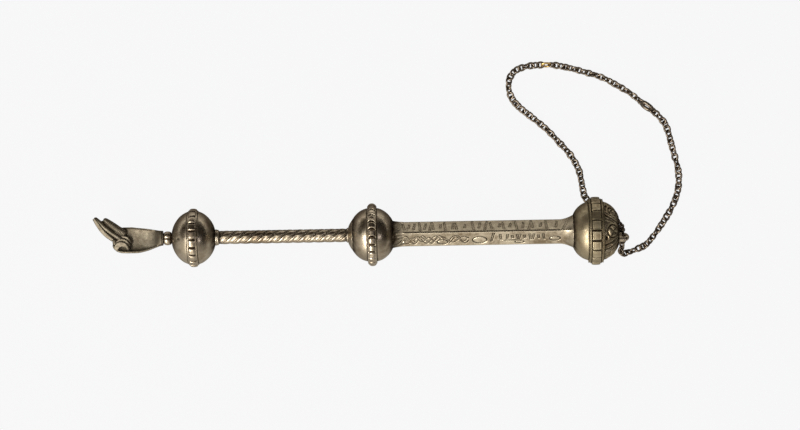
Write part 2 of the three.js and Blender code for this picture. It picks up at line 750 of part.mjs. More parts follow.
// The ring that holds both ends of the chain hangs on the lug's lower rod
const hang = new THREE.Vector3(0, -0.35, -0.94).normalize();
const lugRingRadius = (LUG_RING_DIAMETER - LUG_RING_WIRE) / 2;
const lugRingDrop = lugRingRadius - LUG_RING_WIRE / 2 - LUG_WIRE / 2 - 2 * SEAM;
const lugRingCentre = new THREE.Vector3(endFaceAt, 0, 0)
  .add(lugPlace(linkHalfWidth + 3 * SEAM, -lugBend))
  .applyMatrix4(pointer.matrixWorld)
  .addScaledVector(hang, lugRingDrop);

function loopAt(outline, wire, sides, centre, along, roll, cornerInside = false) {
  const direction = along.clone().normalize();
  const side = new THREE.Vector3().crossVectors(new THREE.Vector3(0, 0, 1), direction).normalize();
  const over = new THREE.Vector3().crossVectors(direction, side);
  const flat = side.clone().multiplyScalar(Math.cos(roll)).addScaledVector(over, Math.sin(roll));
  const normal = new THREE.Vector3().crossVectors(direction, flat);
  const geometry = wireLoop(outline, wire, sides, cornerInside);
  geometry.applyMatrix4(new THREE.Matrix4().makeBasis(direction, flat, normal).setPosition(centre));
  return solidOf(geometry);
}

const brassHalfWidth = (BRASS_LINK_WIDTH - BRASS_LINK_WIRE) / 2;
const brassHeight = brassHalfWidth * Math.sin(THREE.MathUtils.degToRad(LINK_ROLL_DEG))
  + sectionRadius(BRASS_LINK_WIRE, RING_SIDES) + SEAM;
const brassCentre = chainPlace([-20.0, 75.2, brassHeight]);
const brassAlong = new THREE.Vector3(1, 0, 0);
const brassReach = (BRASS_LINK_LENGTH - BRASS_LINK_WIRE) / 2;
const joiningCentre = chainPlace([25.1, 55.7, linkHeight]);
const joiningAlong = new THREE.Vector3(0.8, -0.6, 0);
const joiningReach = (JOINING_RING_DIAMETER - JOINING_RING_WIRE) / 2;

addPiece(part, 'lug_ring', loopAt(
  ovalOutline(LUG_RING_DIAMETER, LUG_RING_DIAMETER, LUG_RING_WIRE, RING_STEPS), LUG_RING_WIRE, RING_SIDES,
  lugRingCentre, hang, Math.PI / 2), darkSilver);
addPiece(part, 'joining_ring', loopAt(
  ovalOutline(JOINING_RING_DIAMETER, JOINING_RING_DIAMETER, JOINING_RING_WIRE, RING_STEPS),
  JOINING_RING_WIRE, RING_SIDES, joiningCentre, joiningAlong, 0), darkSilver);

// The chain's course in three stretches, chosen by hand; the last and first places are the
// wires of the ring or link that each stretch is threaded on.
const reach = (centre, along, distance) => centre.clone().addScaledVector(along, distance);

const NEAR_HEADING = new THREE.Vector3(0, 0.72, -0.69).normalize();
const FAR_HEADING = new THREE.Vector3(0, -0.8, -0.6).normalize();
const NEAR_COURSE = [
  [12.1, 0.5, 8.2], [12.0, 1.9, 6.1], [11.1, 3.5, 4.2], [9.5, 5.1, 2.9], [7.4, 6.9, 2.0], [5.0, 8.7, 1.45],
];
const NEAR_FLOOR = [
  [2.4, 10.7], [-1.0, 12.8], [-3.5, 15.2], [-4.6, 20.0], [-6.0, 27.2], [-9.6, 34.1], [-15.2, 40.6],
  [-20.6, 46.4], [-26.9, 51.7], [-32.4, 56.3], [-35.4, 59.9], [-36.9, 64.0], [-36.7, 68.8],
  [-34.4, 72.4], [-30.6, 74.2], [-26.2, 75.0],
];
const MIDDLE_FLOOR = [[-14.0, 74.6], [-8.0, 73.2], [-1.2, 71.2], [5.5, 68.9], [11.5, 65.6], [17.5, 61.9]];
const FAR_FLOOR = [
  [30.4, 51.2], [33.4, 47.2], [34.9, 42.6], [36.0, 38.0], [37.5, 32.2], [38.9, 25.5], [38.6, 18.3],
  [36.2, 11.1], [32.0, 4.0], [27.5, -2.3], [23.6, -6.7],
];
const FAR_COURSE = [
  [19.6, -8.6, 1.65], [15.8, -9.9, 2.45], [13.1, -10.6, 3.7], [12.0, -10.2, 5.4], [12.0, -8.6, 7.2],
];

// Links along one stretch: threaded ends first, then fused runs with a little slack between them
function linkPlaces(places, startWire, endWire) {
  const curve = new THREE.CatmullRomCurve3(places, false, 'centripetal');
  curve.arcLengthDivisions = 2000;
  const threaded = (wire) => LINK_LENGTH / 2 - LINK_WIRE - wire / 2 - THREAD_SLACK;
  const from = threaded(startWire);
  const to = curve.getLength() - threaded(endWire);
  const corner = sectionRadius(LINK_WIRE, LINK_SIDES);
  const flat = corner * Math.cos(Math.PI / LINK_SIDES);
  const touchingPitch = LINK_LENGTH - LINK_WIRE - flat - corner;
  const loosePitch = touchingPitch - THREAD_SLACK;
  const gaps = Math.floor((to - from) / (touchingPitch + CONTACT_SINK));
  const runs = Math.max(1, Math.round((gaps + 1) / LINKS_PER_RUN));
  const runOf = (link) => Math.floor((link * runs) / (gaps + 1));
  const pitch = (to - from - (runs - 1) * loosePitch) / (gaps - (runs - 1));
  const links = [];
  let at = from;
  for (let i = 0; i <= gaps; i += 1) {
    const share = at / curve.getLength();
    links.push({ centre: curve.getPointAt(share), along: curve.getTangentAt(share), run: runOf(i) });
    at += runOf(i) === runOf(i + 1) ? pitch : loosePitch;
  }
  return links;
}

// Links stand turned to one side and the other by turns, and by turns they have a flat side and
// a corner of their wire inside, so that each touches the next along one edge. A stretch that ends on an upright ring
// twists towards it over its last few links.
function addStretch(name, places, wires, rolls) {
  const links = linkPlaces(places, ...wires);
  const roll = THREE.MathUtils.degToRad(LINK_ROLL_DEG);
  const restRoll = (i) => (i % 2 ? -roll : roll);
  const last = links.length - 1;
  const twistAt = (link, end, wanted) => {
    const fade = Math.max(0, 1 - Math.abs(link - end) / TWIST_LINKS);
    return wanted === null ? 0 : (wanted - restRoll(end)) * fade;
  };
  const runs = [];
  links.forEach((link, i) => {
    const twist = twistAt(i, 0, rolls[0]) + twistAt(i, last, rolls[1]);
    const cornerInside = i % 2 === 1;
    const solid = loopAt(
      linkOutline(), LINK_WIRE, LINK_SIDES, link.centre, link.along, restRoll(i) + twist, cornerInside);
    runs[link.run] = runs[link.run] ? runs[link.run].add(solid) : solid;
  });
  runs.forEach((run, i) => addPiece(part, `${name}_${i + 1}`, run, darkSilver));
  return restRoll(last);
}

const nearEndRoll = addStretch('near_chain', [
  reach(lugRingCentre, NEAR_HEADING, lugRingRadius),
  ...NEAR_COURSE.map(chainPlace),
  ...flatPlaces(NEAR_FLOOR),
  reach(brassCentre, brassAlong, -brassReach),
], [LUG_RING_WIRE, BRASS_LINK_WIRE], [0, null]);
addPiece(part, 'brass_link', loopAt(
  ovalOutline(BRASS_LINK_LENGTH, BRASS_LINK_WIDTH, BRASS_LINK_WIRE, RING_STEPS),
  BRASS_LINK_WIRE, RING_SIDES, brassCentre, brassAlong, nearEndRoll + Math.PI / 2), brass);
addStretch('middle_chain', [
  reach(brassCentre, brassAlong, brassReach),
  ...flatPlaces(MIDDLE_FLOOR),
  reach(joiningCentre, joiningAlong, -joiningReach),
], [BRASS_LINK_WIRE, JOINING_RING_WIRE], [nearEndRoll, null]);
addStretch('far_chain', [
  reach(joiningCentre, joiningAlong, joiningReach),
  ...flatPlaces(FAR_FLOOR),
  ...FAR_COURSE.map(chainPlace),
  reach(lugRingCentre, FAR_HEADING, lugRingRadius),
], [JOINING_RING_WIRE, LUG_RING_WIRE], [null, 0]);

export default part;
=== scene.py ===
"""Dresses a lying silver reading pointer: small hand, three banded knops, twisted stem,
engraved square shaft and a looped chain of fine links."""

import logging
import math
from contextlib import contextmanager
from dataclasses import dataclass, field
from enum import Enum
from typing import Callable, Iterator, Sequence

import bpy
import numpy as np
from mathutils import Matrix, Vector


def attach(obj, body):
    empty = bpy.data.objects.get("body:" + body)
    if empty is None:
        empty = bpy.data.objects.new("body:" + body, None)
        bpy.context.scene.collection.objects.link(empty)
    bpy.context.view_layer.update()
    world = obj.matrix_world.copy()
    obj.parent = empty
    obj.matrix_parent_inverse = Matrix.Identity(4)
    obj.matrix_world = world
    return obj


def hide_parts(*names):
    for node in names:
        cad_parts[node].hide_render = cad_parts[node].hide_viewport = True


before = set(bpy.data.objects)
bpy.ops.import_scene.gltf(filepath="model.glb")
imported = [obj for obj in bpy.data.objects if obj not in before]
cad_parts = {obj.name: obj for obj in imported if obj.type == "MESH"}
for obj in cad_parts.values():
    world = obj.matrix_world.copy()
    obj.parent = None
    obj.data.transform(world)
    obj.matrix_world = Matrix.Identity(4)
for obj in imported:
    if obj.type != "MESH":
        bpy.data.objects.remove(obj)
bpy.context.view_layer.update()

log = logging.getLogger("pointer")

MM = 0.001
METRES = Matrix.Scale(MM, 4)
SEAM = 0.05
FLAT_DEPTH = 0.3
FULL_TURN = 2 * math.pi
TINY = 1e-6
NEAR_AXIS = 0.5

Place = tuple[float, float, float]
Span = tuple[float, float]
Stroke = tuple[float, ...]
Colour = tuple[float, float, float, float]
Shape = Callable[[np.ndarray, np.ndarray, np.ndarray], tuple[np.ndarray, np.ndarray, np.ndarray]]
Pattern = Callable[[np.ndarray, np.ndarray], np.ndarray]


# Tools of the bench: each works on one mesh, in millimetres of the pointer


def deselect() -> None:
    """Leaves nothing selected, in object mode."""
    if bpy.context.object and bpy.context.object.mode != "OBJECT":
        bpy.ops.object.mode_set(mode="OBJECT")
    bpy.ops.object.select_all(action="DESELECT")


def pick(piece: bpy.types.Object) -> None:
    """Selects one piece and makes it active."""
    deselect()
    piece.select_set(True)
    bpy.context.view_layer.objects.active = piece


@contextmanager
def editing(piece: bpy.types.Object) -> Iterator[bpy.types.Object]:
    """Edit mode on one piece, with all of its mesh selected."""
    pick(piece)
    bpy.ops.object.mode_set(mode="EDIT")
    bpy.ops.mesh.select_all(action="SELECT")
    yield piece
    bpy.ops.object.mode_set(mode="OBJECT")


def named(name: str) -> bpy.types.Object:
    """Names the new active object and its mesh.

    Args:
        name: The piece's name.

    Returns:
        The active object.
    """
    piece = bpy.context.object
    piece.name = name
    piece.data.name = name
    return piece


def corners(piece: bpy.types.Object) -> np.ndarray:
    """All places of the mesh's corners.

    Args:
        piece: A mesh object.

    Returns:
        An array of one row of x, y, z for each corner.
    """
    flat = np.empty(len(piece.data.vertices) * 3)
    piece.data.vertices.foreach_get("co", flat)
    return flat.reshape(-1, 3)


def set_corners(piece: bpy.types.Object, places: np.ndarray) -> None:
    """Moves the mesh's corners to new places.

    Args:
        piece: A mesh object.
        places: One row of x, y, z for each corner.
    """
    piece.data.vertices.foreach_set("co", places.astype(np.float32).ravel())
    piece.data.update()


def reshape(piece: bpy.types.Object, shape: Shape) -> None:
    """Moves corners by their place along the pointer, radius, and angle from the top towards -Y.

    Args:
        piece: A mesh object.
        shape: Gives the new places along, radii and angles.
    """
    places = corners(piece)
    radius = np.hypot(places[:, 1], places[:, 2])
    angle = np.mod(np.arctan2(-places[:, 1], places[:, 2]), FULL_TURN)
    along, radius, angle = shape(places[:, 0], radius, angle)
    set_corners(piece, np.column_stack((along, -radius * np.sin(angle), radius * np.cos(angle))))


def close_seams(piece: bpy.types.Object, distance: float = 1e-3) -> None:
    """Merges double corners and points all faces outwards.

    Args:
        piece: A mesh object.
        distance: How near two corners are merged, in millimetres.
    """
    with editing(piece):
        bpy.ops.mesh.remove_doubles(threshold=distance)
        bpy.ops.mesh.normals_make_consistent(inside=False)


def drawn(name: str, places: Sequence[Place]) -> bpy.types.Object:
    """A line drawn from place to place, each stretch extruded from the last.

    Args:
        name: The line's name.
        places: The places that it goes through.

    Returns:
        A mesh object of edges alone.
    """
    deselect()
    bpy.ops.mesh.primitive_plane_add(size=1)
    line = named(name)
    with editing(line):
        bpy.ops.mesh.merge(type="CENTER")
        bpy.ops.transform.translate(value=places[0])
        for start, end in zip(places, places[1:]):
            step = tuple(b - a for a, b in zip(start, end))
            bpy.ops.mesh.extrude_region_move(TRANSFORM_OT_translate={"value": step})
    return line


def turned(name: str, profile: Sequence[Span], steps: int) -> bpy.types.Object:
    """A profile turned about the pointer's axis, as on a lathe.

    Args:
        name: The piece's name.
        profile: Places along the axis and their radii, from axis to axis or closed on itself.
        steps: How many steps go round.

    Returns:
        The closed piece.
    """
    piece = drawn(name, [(along, 0.0, radius) for along, radius in profile])
    with editing(piece):
        bpy.ops.mesh.spin(steps=steps, angle=FULL_TURN, center=(0, 0, 0), axis=(1, 0, 0))
    close_seams(piece)
    return piece


def bar(name: str, length: float, coarse: int, fine: int, steps: int) -> bpy.types.Object:
    """A closed round bar of radius 1 along +X, finely divided, for reshaping.

    Args:
        name: The bar's name.
        length: Its length in millimetres.
        coarse: How many parts it is first divided into.
        fine: How many sections each of those has.
        steps: How many steps go round.

    Returns:
        The bar, starting at the origin.
    """
    piece = drawn(name, [(0.0, 0.0, 1.0), (length, 0.0, 1.0)])
    with editing(piece):
        bpy.ops.mesh.subdivide(number_cuts=coarse - 1)
        bpy.ops.mesh.subdivide(number_cuts=fine - 1)
        bpy.ops.mesh.spin(steps=steps, angle=FULL_TURN, center=(0, 0, 0), axis=(1, 0, 0))
        bpy.ops.mesh.remove_doubles(threshold=1e-4)
        bpy.ops.mesh.select_all(action="DESELECT")
        bpy.ops.mesh.select_non_manifold()
        bpy.ops.mesh.fill_holes(sides=0)
    close_seams(piece, 1e-4)
    return piece


def modify(piece: bpy.types.Object, kind: str, **settings: object) -> None:
    """Adds one modifier and applies it.

    Args:
        piece: A mesh object.
        kind: The modifier's type.
        settings: Its values by name.
    """
    pick(piece)
    modifier = piece.modifiers.new(kind.title(), kind)
    for key, value in settings.items():
        setattr(modifier, key, value)
    bpy.ops.object.modifier_apply(modifier=modifier.name)


def uneven(piece: bpy.types.Object, grain: float, strength: float) -> None:
    """Gives a hand-worked surface: soft swells and dents.

    Args:
        piece: A mesh object.
        grain: The size of one swell in millimetres.
        strength: How far the surface moves in millimetres.
    """
    clouds = bpy.data.textures.new(f"{piece.name}_swells", "CLOUDS")
    clouds.noise_scale = grain
    clouds.noise_depth = 2
    modify(piece, "DISPLACE", texture=clouds, strength=strength, mid_level=0.5, texture_coords="LOCAL")
    bpy.data.textures.remove(clouds)


def joined(name: str, pieces: Sequence[bpy.types.Object]) -> bpy.types.Object:
    """Joins several meshes into one object.

    Args:
        name: The new name.
        pieces: The mesh objects.

    Returns:
        The one object.
    """
    deselect()
    for piece in pieces:
        piece.select_set(True)
    bpy.context.view_layer.objects.active = pieces[0]
    if len(pieces) > 1:
        bpy.ops.object.join()
    return named(name)


def copied(piece: bpy.types.Object, placing: Matrix) -> bpy.types.Object:
    """A copy with its own mesh, moved by a matrix.

    Args:
        piece: The model to copy.
        placing: Where the copy's mesh goes.

    Returns:
        The copy.
    """
    copy = piece.copy()
    copy.data = piece.data.copy()
    bpy.context.scene.collection.objects.link(copy)
    copy.data.transform(placing)
    return copy


def smooth_values(at: np.ndarray, marks: Sequence[float], values: Sequence[float]) -> np.ndarray:
    """A smooth curve through marked values, with no swing past them at the ends.

    Args:
        at: Where the curve is read.
        marks: Rising places of the known values.
        values: The known values.

    Returns:
        The curve's values.
    """
    x, y = np.asarray(marks, float), np.asarray(values, float)
    slope = np.gradient(y, x)
    cell = np.clip(np.searchsorted(x, at, side="right") - 1, 0, len(x) - 2)
    width = x[cell + 1] - x[cell]
    t = np.clip((at - x[cell]) / width, 0, 1)
    return (
        y[cell] * (2 * t**3 - 3 * t**2 + 1)
        + slope[cell] * width * (t**3 - 2 * t**2 + t)
        + y[cell + 1] * (3 * t**2 - 2 * t**3)
        + slope[cell + 1] * width * (t**3 - t**2)
    )


def run_along(places: np.ndarray, evenness: float = 1.0) -> np.ndarray:
    """How far along a line each of its places lies.

    Args:
        places: One row for each place.
        evenness: 1 for true distances, less to make long and short stretches more alike.

    Returns:
        The distances from the first place.
    """
    return np.concatenate(([0.0], np.cumsum(np.linalg.norm(np.diff(places, axis=0), axis=1) ** evenness)))


def smooth_course(places: Sequence[Place], steps: int) -> np.ndarray:
    """Places at even distances on one smooth curve through the given places.

    Args:
        places: The places that the curve goes through.
        steps: How many places are wanted.

    Returns:
        One row of x, y, z for each place.
    """
    known = np.asarray(places, float)
    marks = run_along(known, evenness=0.5)
    fine = np.linspace(0, marks[-1], max(400, 8 * steps))
    dense = np.column_stack([smooth_values(fine, marks, known[:, i]) for i in range(3)])
    run = run_along(dense)
    even = np.linspace(0, run[-1], steps)
    return np.column_stack([np.interp(even, run, dense[:, i]) for i in range(3)])


def rod(name: str, places: Sequence[Place], radii: Sequence[float], steps: int = 24,
        sides: int = 3, round_ends: bool = True) -> bpy.types.Object:
    """A round rod through a few places, its thickness changing smoothly.

    Args:
        name: The rod's name.
        places: Places along its middle.
        radii: Radii at even distances along it.
        steps: How many sections it has.
        sides: Fineness of its round section.
        round_ends: Whether the ends are rounded, or cut square.

    Returns:
        The rod as a closed mesh.
    """
    bluntness = 0.02
    course = smooth_course(places, steps)
    share = np.linspace(0, 1, steps)
    radius = smooth_values(share, np.linspace(0, 1, len(radii)), radii)
    if round_ends:
        length = np.linalg.norm(np.diff(course, axis=0), axis=1).sum()
        for end in (share, 1 - share):
            inset = np.clip(end * length / np.maximum(radius, TINY), bluntness, 1)
            radius = radius * np.sqrt(1 - (1 - inset) ** 2)
    curve = bpy.data.curves.new(name, "CURVE")
    curve.dimensions = "3D"
    curve.bevel_depth = 1.0
    curve.bevel_resolution = sides
    curve.use_fill_caps = True
    spline = curve.splines.new("POLY")
    spline.points.add(steps - 1)
    for point, place, thickness in zip(spline.points, course, radius):
        point.co = (*place, 1.0)
        point.radius = float(thickness)
    piece = bpy.data.objects.new(name, curve)
    bpy.context.scene.collection.objects.link(piece)
    pick(piece)
    bpy.ops.object.convert(target="MESH")
    piece = named(name)
    close_seams(piece)
    return piece


def stroked(x: np.ndarray, y: np.ndarray, strokes: Sequence[Stroke], width: float,
            power: float = 2.0) -> np.ndarray:
    """How strongly each place of a surface is touched by a set of strokes.

    Args:
        x: Places one way across the surface.
        y: Places the other way.
        strokes: Each stroke's two ends, and its strength.
        width: Half the width of a stroke.
        power: 2 for a soft section, more for a flatter one.

    Returns:
        From 0 for untouched to 1.
    """
    fade = 2.2
    touched = np.zeros_like(x)
    reach = fade * width
    for x0, y0, x1, y1, share in strokes:
        near = np.nonzero((x > min(x0, x1) - reach) & (x < max(x0, x1) + reach)
                          & (y > min(y0, y1) - reach) & (y < max(y0, y1) + reach))[0]
        dx, dy = x1 - x0, y1 - y0
        t = np.clip(((x[near] - x0) * dx + (y[near] - y0) * dy) / max(dx * dx + dy * dy, 1e-9), 0, 1)
        distance = np.hypot(x[near] - x0 - t * dx, y[near] - y0 - t * dy)
        touched[near] = np.maximum(touched[near], share * np.exp(-((distance / width) ** power)))
    return touched


def run_through(places: Sequence[Span]) -> list[Stroke]:
    """Strokes of full strength from place to place.

    Args:
        places: The places that the line goes through.

    Returns:
        One stroke for each stretch.
    """
    return [(*start, *end, 1.0) for start, end in zip(places, places[1:])]


def oval_line(x: float, y: float, reach_x: float, reach_y: float) -> list[Stroke]:
    """Strokes round an oval, from its middle and how far it reaches both ways."""
    turns = np.linspace(0, FULL_TURN, 19)
    return run_through([(x + reach_x * math.cos(t), y + reach_y * math.sin(t)) for t in turns])


def mark_hollows(piece: bpy.types.Object, passes: int, depth: float, added_dirt_and_shade: np.ndarray,
                 side_light: np.ndarray) -> None:
    """Stores where the surface is hollow or proud, for the finishes to darken with tarnish and painted shade,
    or to brighten as rubbed ridges and painted light.

    Args:
        piece: A mesh object in metres.
        passes: How many times each corner is averaged with its neighbours.
        depth: The hollow in metres that counts as fully hollow.
        added_dirt_and_shade: More dirt and painted shade for each corner, from 0 to 1.
        side_light: How much painted light lightens each corner at least, from 0 to 1.
    """
    most_dirt_and_shade = 0.9
    mesh = piece.data
    places = corners(piece)
    edges = np.empty(len(mesh.edges) * 2, np.int64)
    mesh.edges.foreach_get("vertices", edges)
    first, second = edges.reshape(-1, 2).T
    count = len(places)
    shares = np.bincount(first, minlength=count) + np.bincount(second, minlength=count)
    smooth = places.copy()
    for _ in range(passes):
        total = np.zeros_like(smooth)
        for axis in range(3):
            total[:, axis] = (np.bincount(first, smooth[second, axis], count)
                              + np.bincount(second, smooth[first, axis], count))
        smooth = total / np.maximum(shares, 1)[:, None]
    normals = np.empty(count * 3)
    mesh.vertices.foreach_get("normal", normals)
    lift = ((smooth - places) * normals.reshape(-1, 3)).sum(axis=1) / depth
    hollow = np.clip(np.maximum(lift, added_dirt_and_shade * most_dirt_and_shade), 0, 1)
    proud = np.clip(np.maximum(-lift, side_light), 0, 1) * (1 - np.clip(added_dirt_and_shade, 0, 1))
    for name, values in (("hollow", hollow), ("proud", proud)):
        layer = mesh.attributes.new(name, "FLOAT", "POINT")
        layer.data.foreach_set("value", values.astype(np.float32))


# Finishes


class NodeTree:
    """Short ways to add and link shader nodes in one tree."""

    def __init__(self, tree: bpy.types.NodeTree) -> None:
        """Keeps the tree that nodes are added to."""
        self.tree = tree

    def add(self, kind: str, **inputs: object) -> bpy.types.Node:
        """Adds a node.

        Args:
            kind: The node's type.
            inputs: Values or sockets by input name, underscores standing for spaces.

        Returns:
            The node.
        """
        node = self.tree.nodes.new(kind)
        for key, value in inputs.items():
            self.feed(node.inputs[key.replace("_", " ")], value)
        return node

    def feed(self, socket: bpy.types.NodeSocket, value: object) -> None:
        """Links a socket to an input, or sets the input's own value."""
        if isinstance(value, bpy.types.NodeSocket):
            self.tree.links.new(value, socket)
        else:
            socket.default_value = value

    def math(self, operation: str, first: object, second: object = 0.0) -> bpy.types.NodeSocket:
        """One step of arithmetic.

        Args:
            operation: The operation's name.
            first: A value or socket.
            second: A value or socket.

        Returns:
            The result's socket.
        """
        node = self.tree.nodes.new("ShaderNodeMath")
        node.operation = operation
        self.feed(node.inputs[0], first)
        self.feed(node.inputs[1], second)
        return node.outputs[0]

    def clamped(self, value: object, known: Span, wanted: Span = (0.0, 1.0)) -> bpy.types.NodeSocket:
        """Spreads a value's range over another range and keeps it inside.

        Args:
            value: The value or socket.
            known: The two values that give the wanted ones.
            wanted: The two outermost results.

        Returns:
            The result's socket.
        """
        node = self.tree.nodes.new("ShaderNodeMapRange")
        self.feed(node.inputs["Value"], value)
        for key, number in zip(("From Min", "From Max", "To Min", "To Max"), (*known, *wanted)):
            node.inputs[key].default_value = number
        return node.outputs["Result"]

    def blend(self, share: object, first: object, second: object) -> bpy.types.NodeSocket:
        """Mixes two colours.

        Args:
            share: How much of the second.
            first: A colour or socket.
            second: A colour or socket.

        Returns:
            The mixed colour's socket.
        """
        node = self.tree.nodes.new("ShaderNodeMix")
        node.data_type = "RGBA"
        self.feed(node.inputs["Factor"], share)
        self.feed(node.inputs[6], first)
        self.feed(node.inputs[7], second)
        return node.outputs[2]

    def noise(self, grain: Span, place: object) -> bpy.types.NodeSocket:
        """Cloudy noise from 0 to 1.

        Args:
            grain: How many swells there are in a metre, and how many finer octaves.
            place: The place's socket.

        Returns:
            The noise's socket.
        """
        node = self.add("ShaderNodeTexNoise", Scale=grain[0], Detail=grain[1], Vector=place)
        return node.outputs["Fac"]

    def mixture(self, first: object, share: float, second: object) -> bpy.types.NodeSocket:
        """The sum of a share of one value and the rest of another.

        Args:
            first: A value or socket.
            share: How much of the first.
            second: A value or socket.

        Returns:
            The sum's socket.
        """
        return self.math("ADD", self.math("MULTIPLY", first, share), self.math("MULTIPLY", second, 1 - share))


@dataclass(frozen=True)
class OldSilver:
    """The shared effect of old silver: tarnish in clouds, dark tarnish in hollows that also paints shade
    there, rubbed bright ridges, and painted light on a side that a piece lightens.

    A grain is a count of swells in a metre, and one of finer octaves.
    """

    colours: Sequence[str] = ("Clean", "Tarnished", "Dirt And Shade")
    numbers: Sequence[str] = ("Hollow", "Proud", "Clouding", "Soiling", "Low Roughness", "High Roughness")
    broad_grain: Span = (110.0, 3.0)
    middle_grain: Span = (520.0, 4.0)
    fine_grain: Span = (2400.0, 3.0)
    scratch_grain: Span = (5200.0, 2.0)
    scratch_turn: Place = (0.2, 0.3, 0.5)
    scratch_shape: Place = (0.12, 1.0, 1.0)
    broad_share: float = 0.6
    clouded: Span = (0.40, 0.60)
    specked: Span = (0.62, 0.72)
    speck_strength: float = 0.55
    patchy: Span = (0.25, 0.6)
    patch_strength: Span = (0.75, 1.25)
    rubbed_and_side_light_strength: float = 0.7
    glossy: Span = (0.3, 0.7)
    dirt_roughness: float = 0.3
    roughness_limits: Span = (0.05, 1.0)
    fine_share: float = 0.6

    def group(self) -> bpy.types.NodeTree:
        """Builds the effect.

        Returns:
            The node group, with Color, Roughness and Height.
        """
        group = bpy.data.node_groups.new("Tarnish", "ShaderNodeTree")
        for kind, names in (("NodeSocketColor", self.colours), ("NodeSocketFloat", self.numbers)):
            for name in names:
                group.interface.new_socket(name, in_out="INPUT", socket_type=kind)
        group.interface.new_socket("Color", in_out="OUTPUT", socket_type="NodeSocketColor")
        for name in ("Roughness", "Height"):
            group.interface.new_socket(name, in_out="OUTPUT", socket_type="NodeSocketFloat")
        nodes = NodeTree(group)
        given = group.nodes.new("NodeGroupInput").outputs
        place = group.nodes.new("ShaderNodeTexCoord").outputs["Object"]
        broad, middle, fine = (
            nodes.noise(grain, place) for grain in (self.broad_grain, self.middle_grain, self.fine_grain))
        stretched = nodes.add("ShaderNodeMapping", Vector=place)
        stretched.inputs["Rotation"].default_value = self.scratch_turn
        stretched.inputs["Scale"].default_value = self.scratch_shape
        scratches = nodes.noise(self.scratch_grain, stretched.outputs["Vector"])
        cloud = nodes.clamped(nodes.mixture(broad, self.broad_share, middle), self.clouded)
        colour = nodes.blend(nodes.math("MULTIPLY", cloud, given["Clouding"]), given["Clean"],
                             given["Tarnished"])
        specks = nodes.math("MULTIPLY", nodes.clamped(fine, self.specked), given["Soiling"])
        patches = nodes.clamped(middle, self.patchy, self.patch_strength)
        # Hollows and necks darken: the tarnish that old silver holds there, plus painted shade where less
        # light reaches.
        dirt_and_shade = nodes.math("MULTIPLY", given["Hollow"], patches)
        dirt_and_shade = nodes.math("MAXIMUM", dirt_and_shade, nodes.math("MULTIPLY", specks, self.speck_strength))
        colour = nodes.blend(nodes.clamped(dirt_and_shade, (0.0, 1.0)), colour, given["Dirt And Shade"])
        # Proud places turn to the clean colour: rubbed ridges, plus painted light over the side that a piece
        # asks to be lighter.
        colour = nodes.blend(nodes.math("MULTIPLY", given["Proud"], self.rubbed_and_side_light_strength), colour,
                             given["Clean"])
        span = nodes.math("SUBTRACT", given["High Roughness"], given["Low Roughness"])
        rough = nodes.math("MULTIPLY", nodes.clamped(middle, self.glossy), span)
        rough = nodes.math("ADD", given["Low Roughness"], rough)
        rough = nodes.math("ADD", rough, nodes.math("MULTIPLY", dirt_and_shade, self.dirt_roughness))
        shown = group.nodes.new("NodeGroupOutput")
        nodes.feed(shown.inputs["Color"], colour)
        nodes.feed(shown.inputs["Roughness"],
                   nodes.clamped(rough, self.roughness_limits, self.roughness_limits))
        nodes.feed(shown.inputs["Height"], nodes.mixture(fine, self.fine_share, scratches))
        return group


@dataclass(frozen=True)
class MetalFinish:
    """An old metal surface: its rubbed colour, its tarnish, and the dark colour of dirt in its hollows, which
    also paints shade there.
    """

    name: str
    slot: str
    clean: tuple[float, float, float]
    tarnished: tuple[float, float, float]
    dirt_and_shade: tuple[float, float, float]
    clouding: float
    soiling: float
    smoothest: float
    roughest: float
    grain_depth: float
    grain_strength: float = 0.6

    def material(self, group: bpy.types.NodeTree) -> bpy.types.Material:
        """Builds the material.

        Args:
            group: The shared tarnish group.

        Returns:
            The material.
        """
        material = bpy.data.materials.new(self.name)
        material.use_nodes = True
        tree = material.node_tree
        nodes = NodeTree(tree)
        shader = tree.nodes["Principled BSDF"]
        shader.inputs["Metallic"].default_value = 1.0
        effect = tree.nodes.new("ShaderNodeGroup")
        effect.node_tree = group
        for key, colour in (("Clean", self.clean), ("Tarnished", self.tarnished), ("Dirt And Shade", self.dirt_and_shade)):
            effect.inputs[key].default_value = (*colour, 1.0)
        for key, number in (("Clouding", self.clouding), ("Soiling", self.soiling),
                            ("Low Roughness", self.smoothest), ("High Roughness", self.roughest)):
            effect.inputs[key].default_value = number
        for key in ("hollow", "proud"):
            mask = tree.nodes.new("ShaderNodeAttribute")
            mask.attribute_name = key
            nodes.feed(effect.inputs[key.title()], mask.outputs["Fac"])
        bump = nodes.add("ShaderNodeBump", Height=effect.outputs["Height"])
        bump.inputs["Distance"].default_value = self.grain_depth * MM
        bump.inputs["Strength"].default_value = self.grain_strength
        nodes.feed(shader.inputs["Base Color"], effect.outputs["Color"])
        nodes.feed(shader.inputs["Roughness"], effect.outputs["Roughness"])
        nodes.feed(shader.inputs["Normal"], bump.outputs["Normal"])
        return material


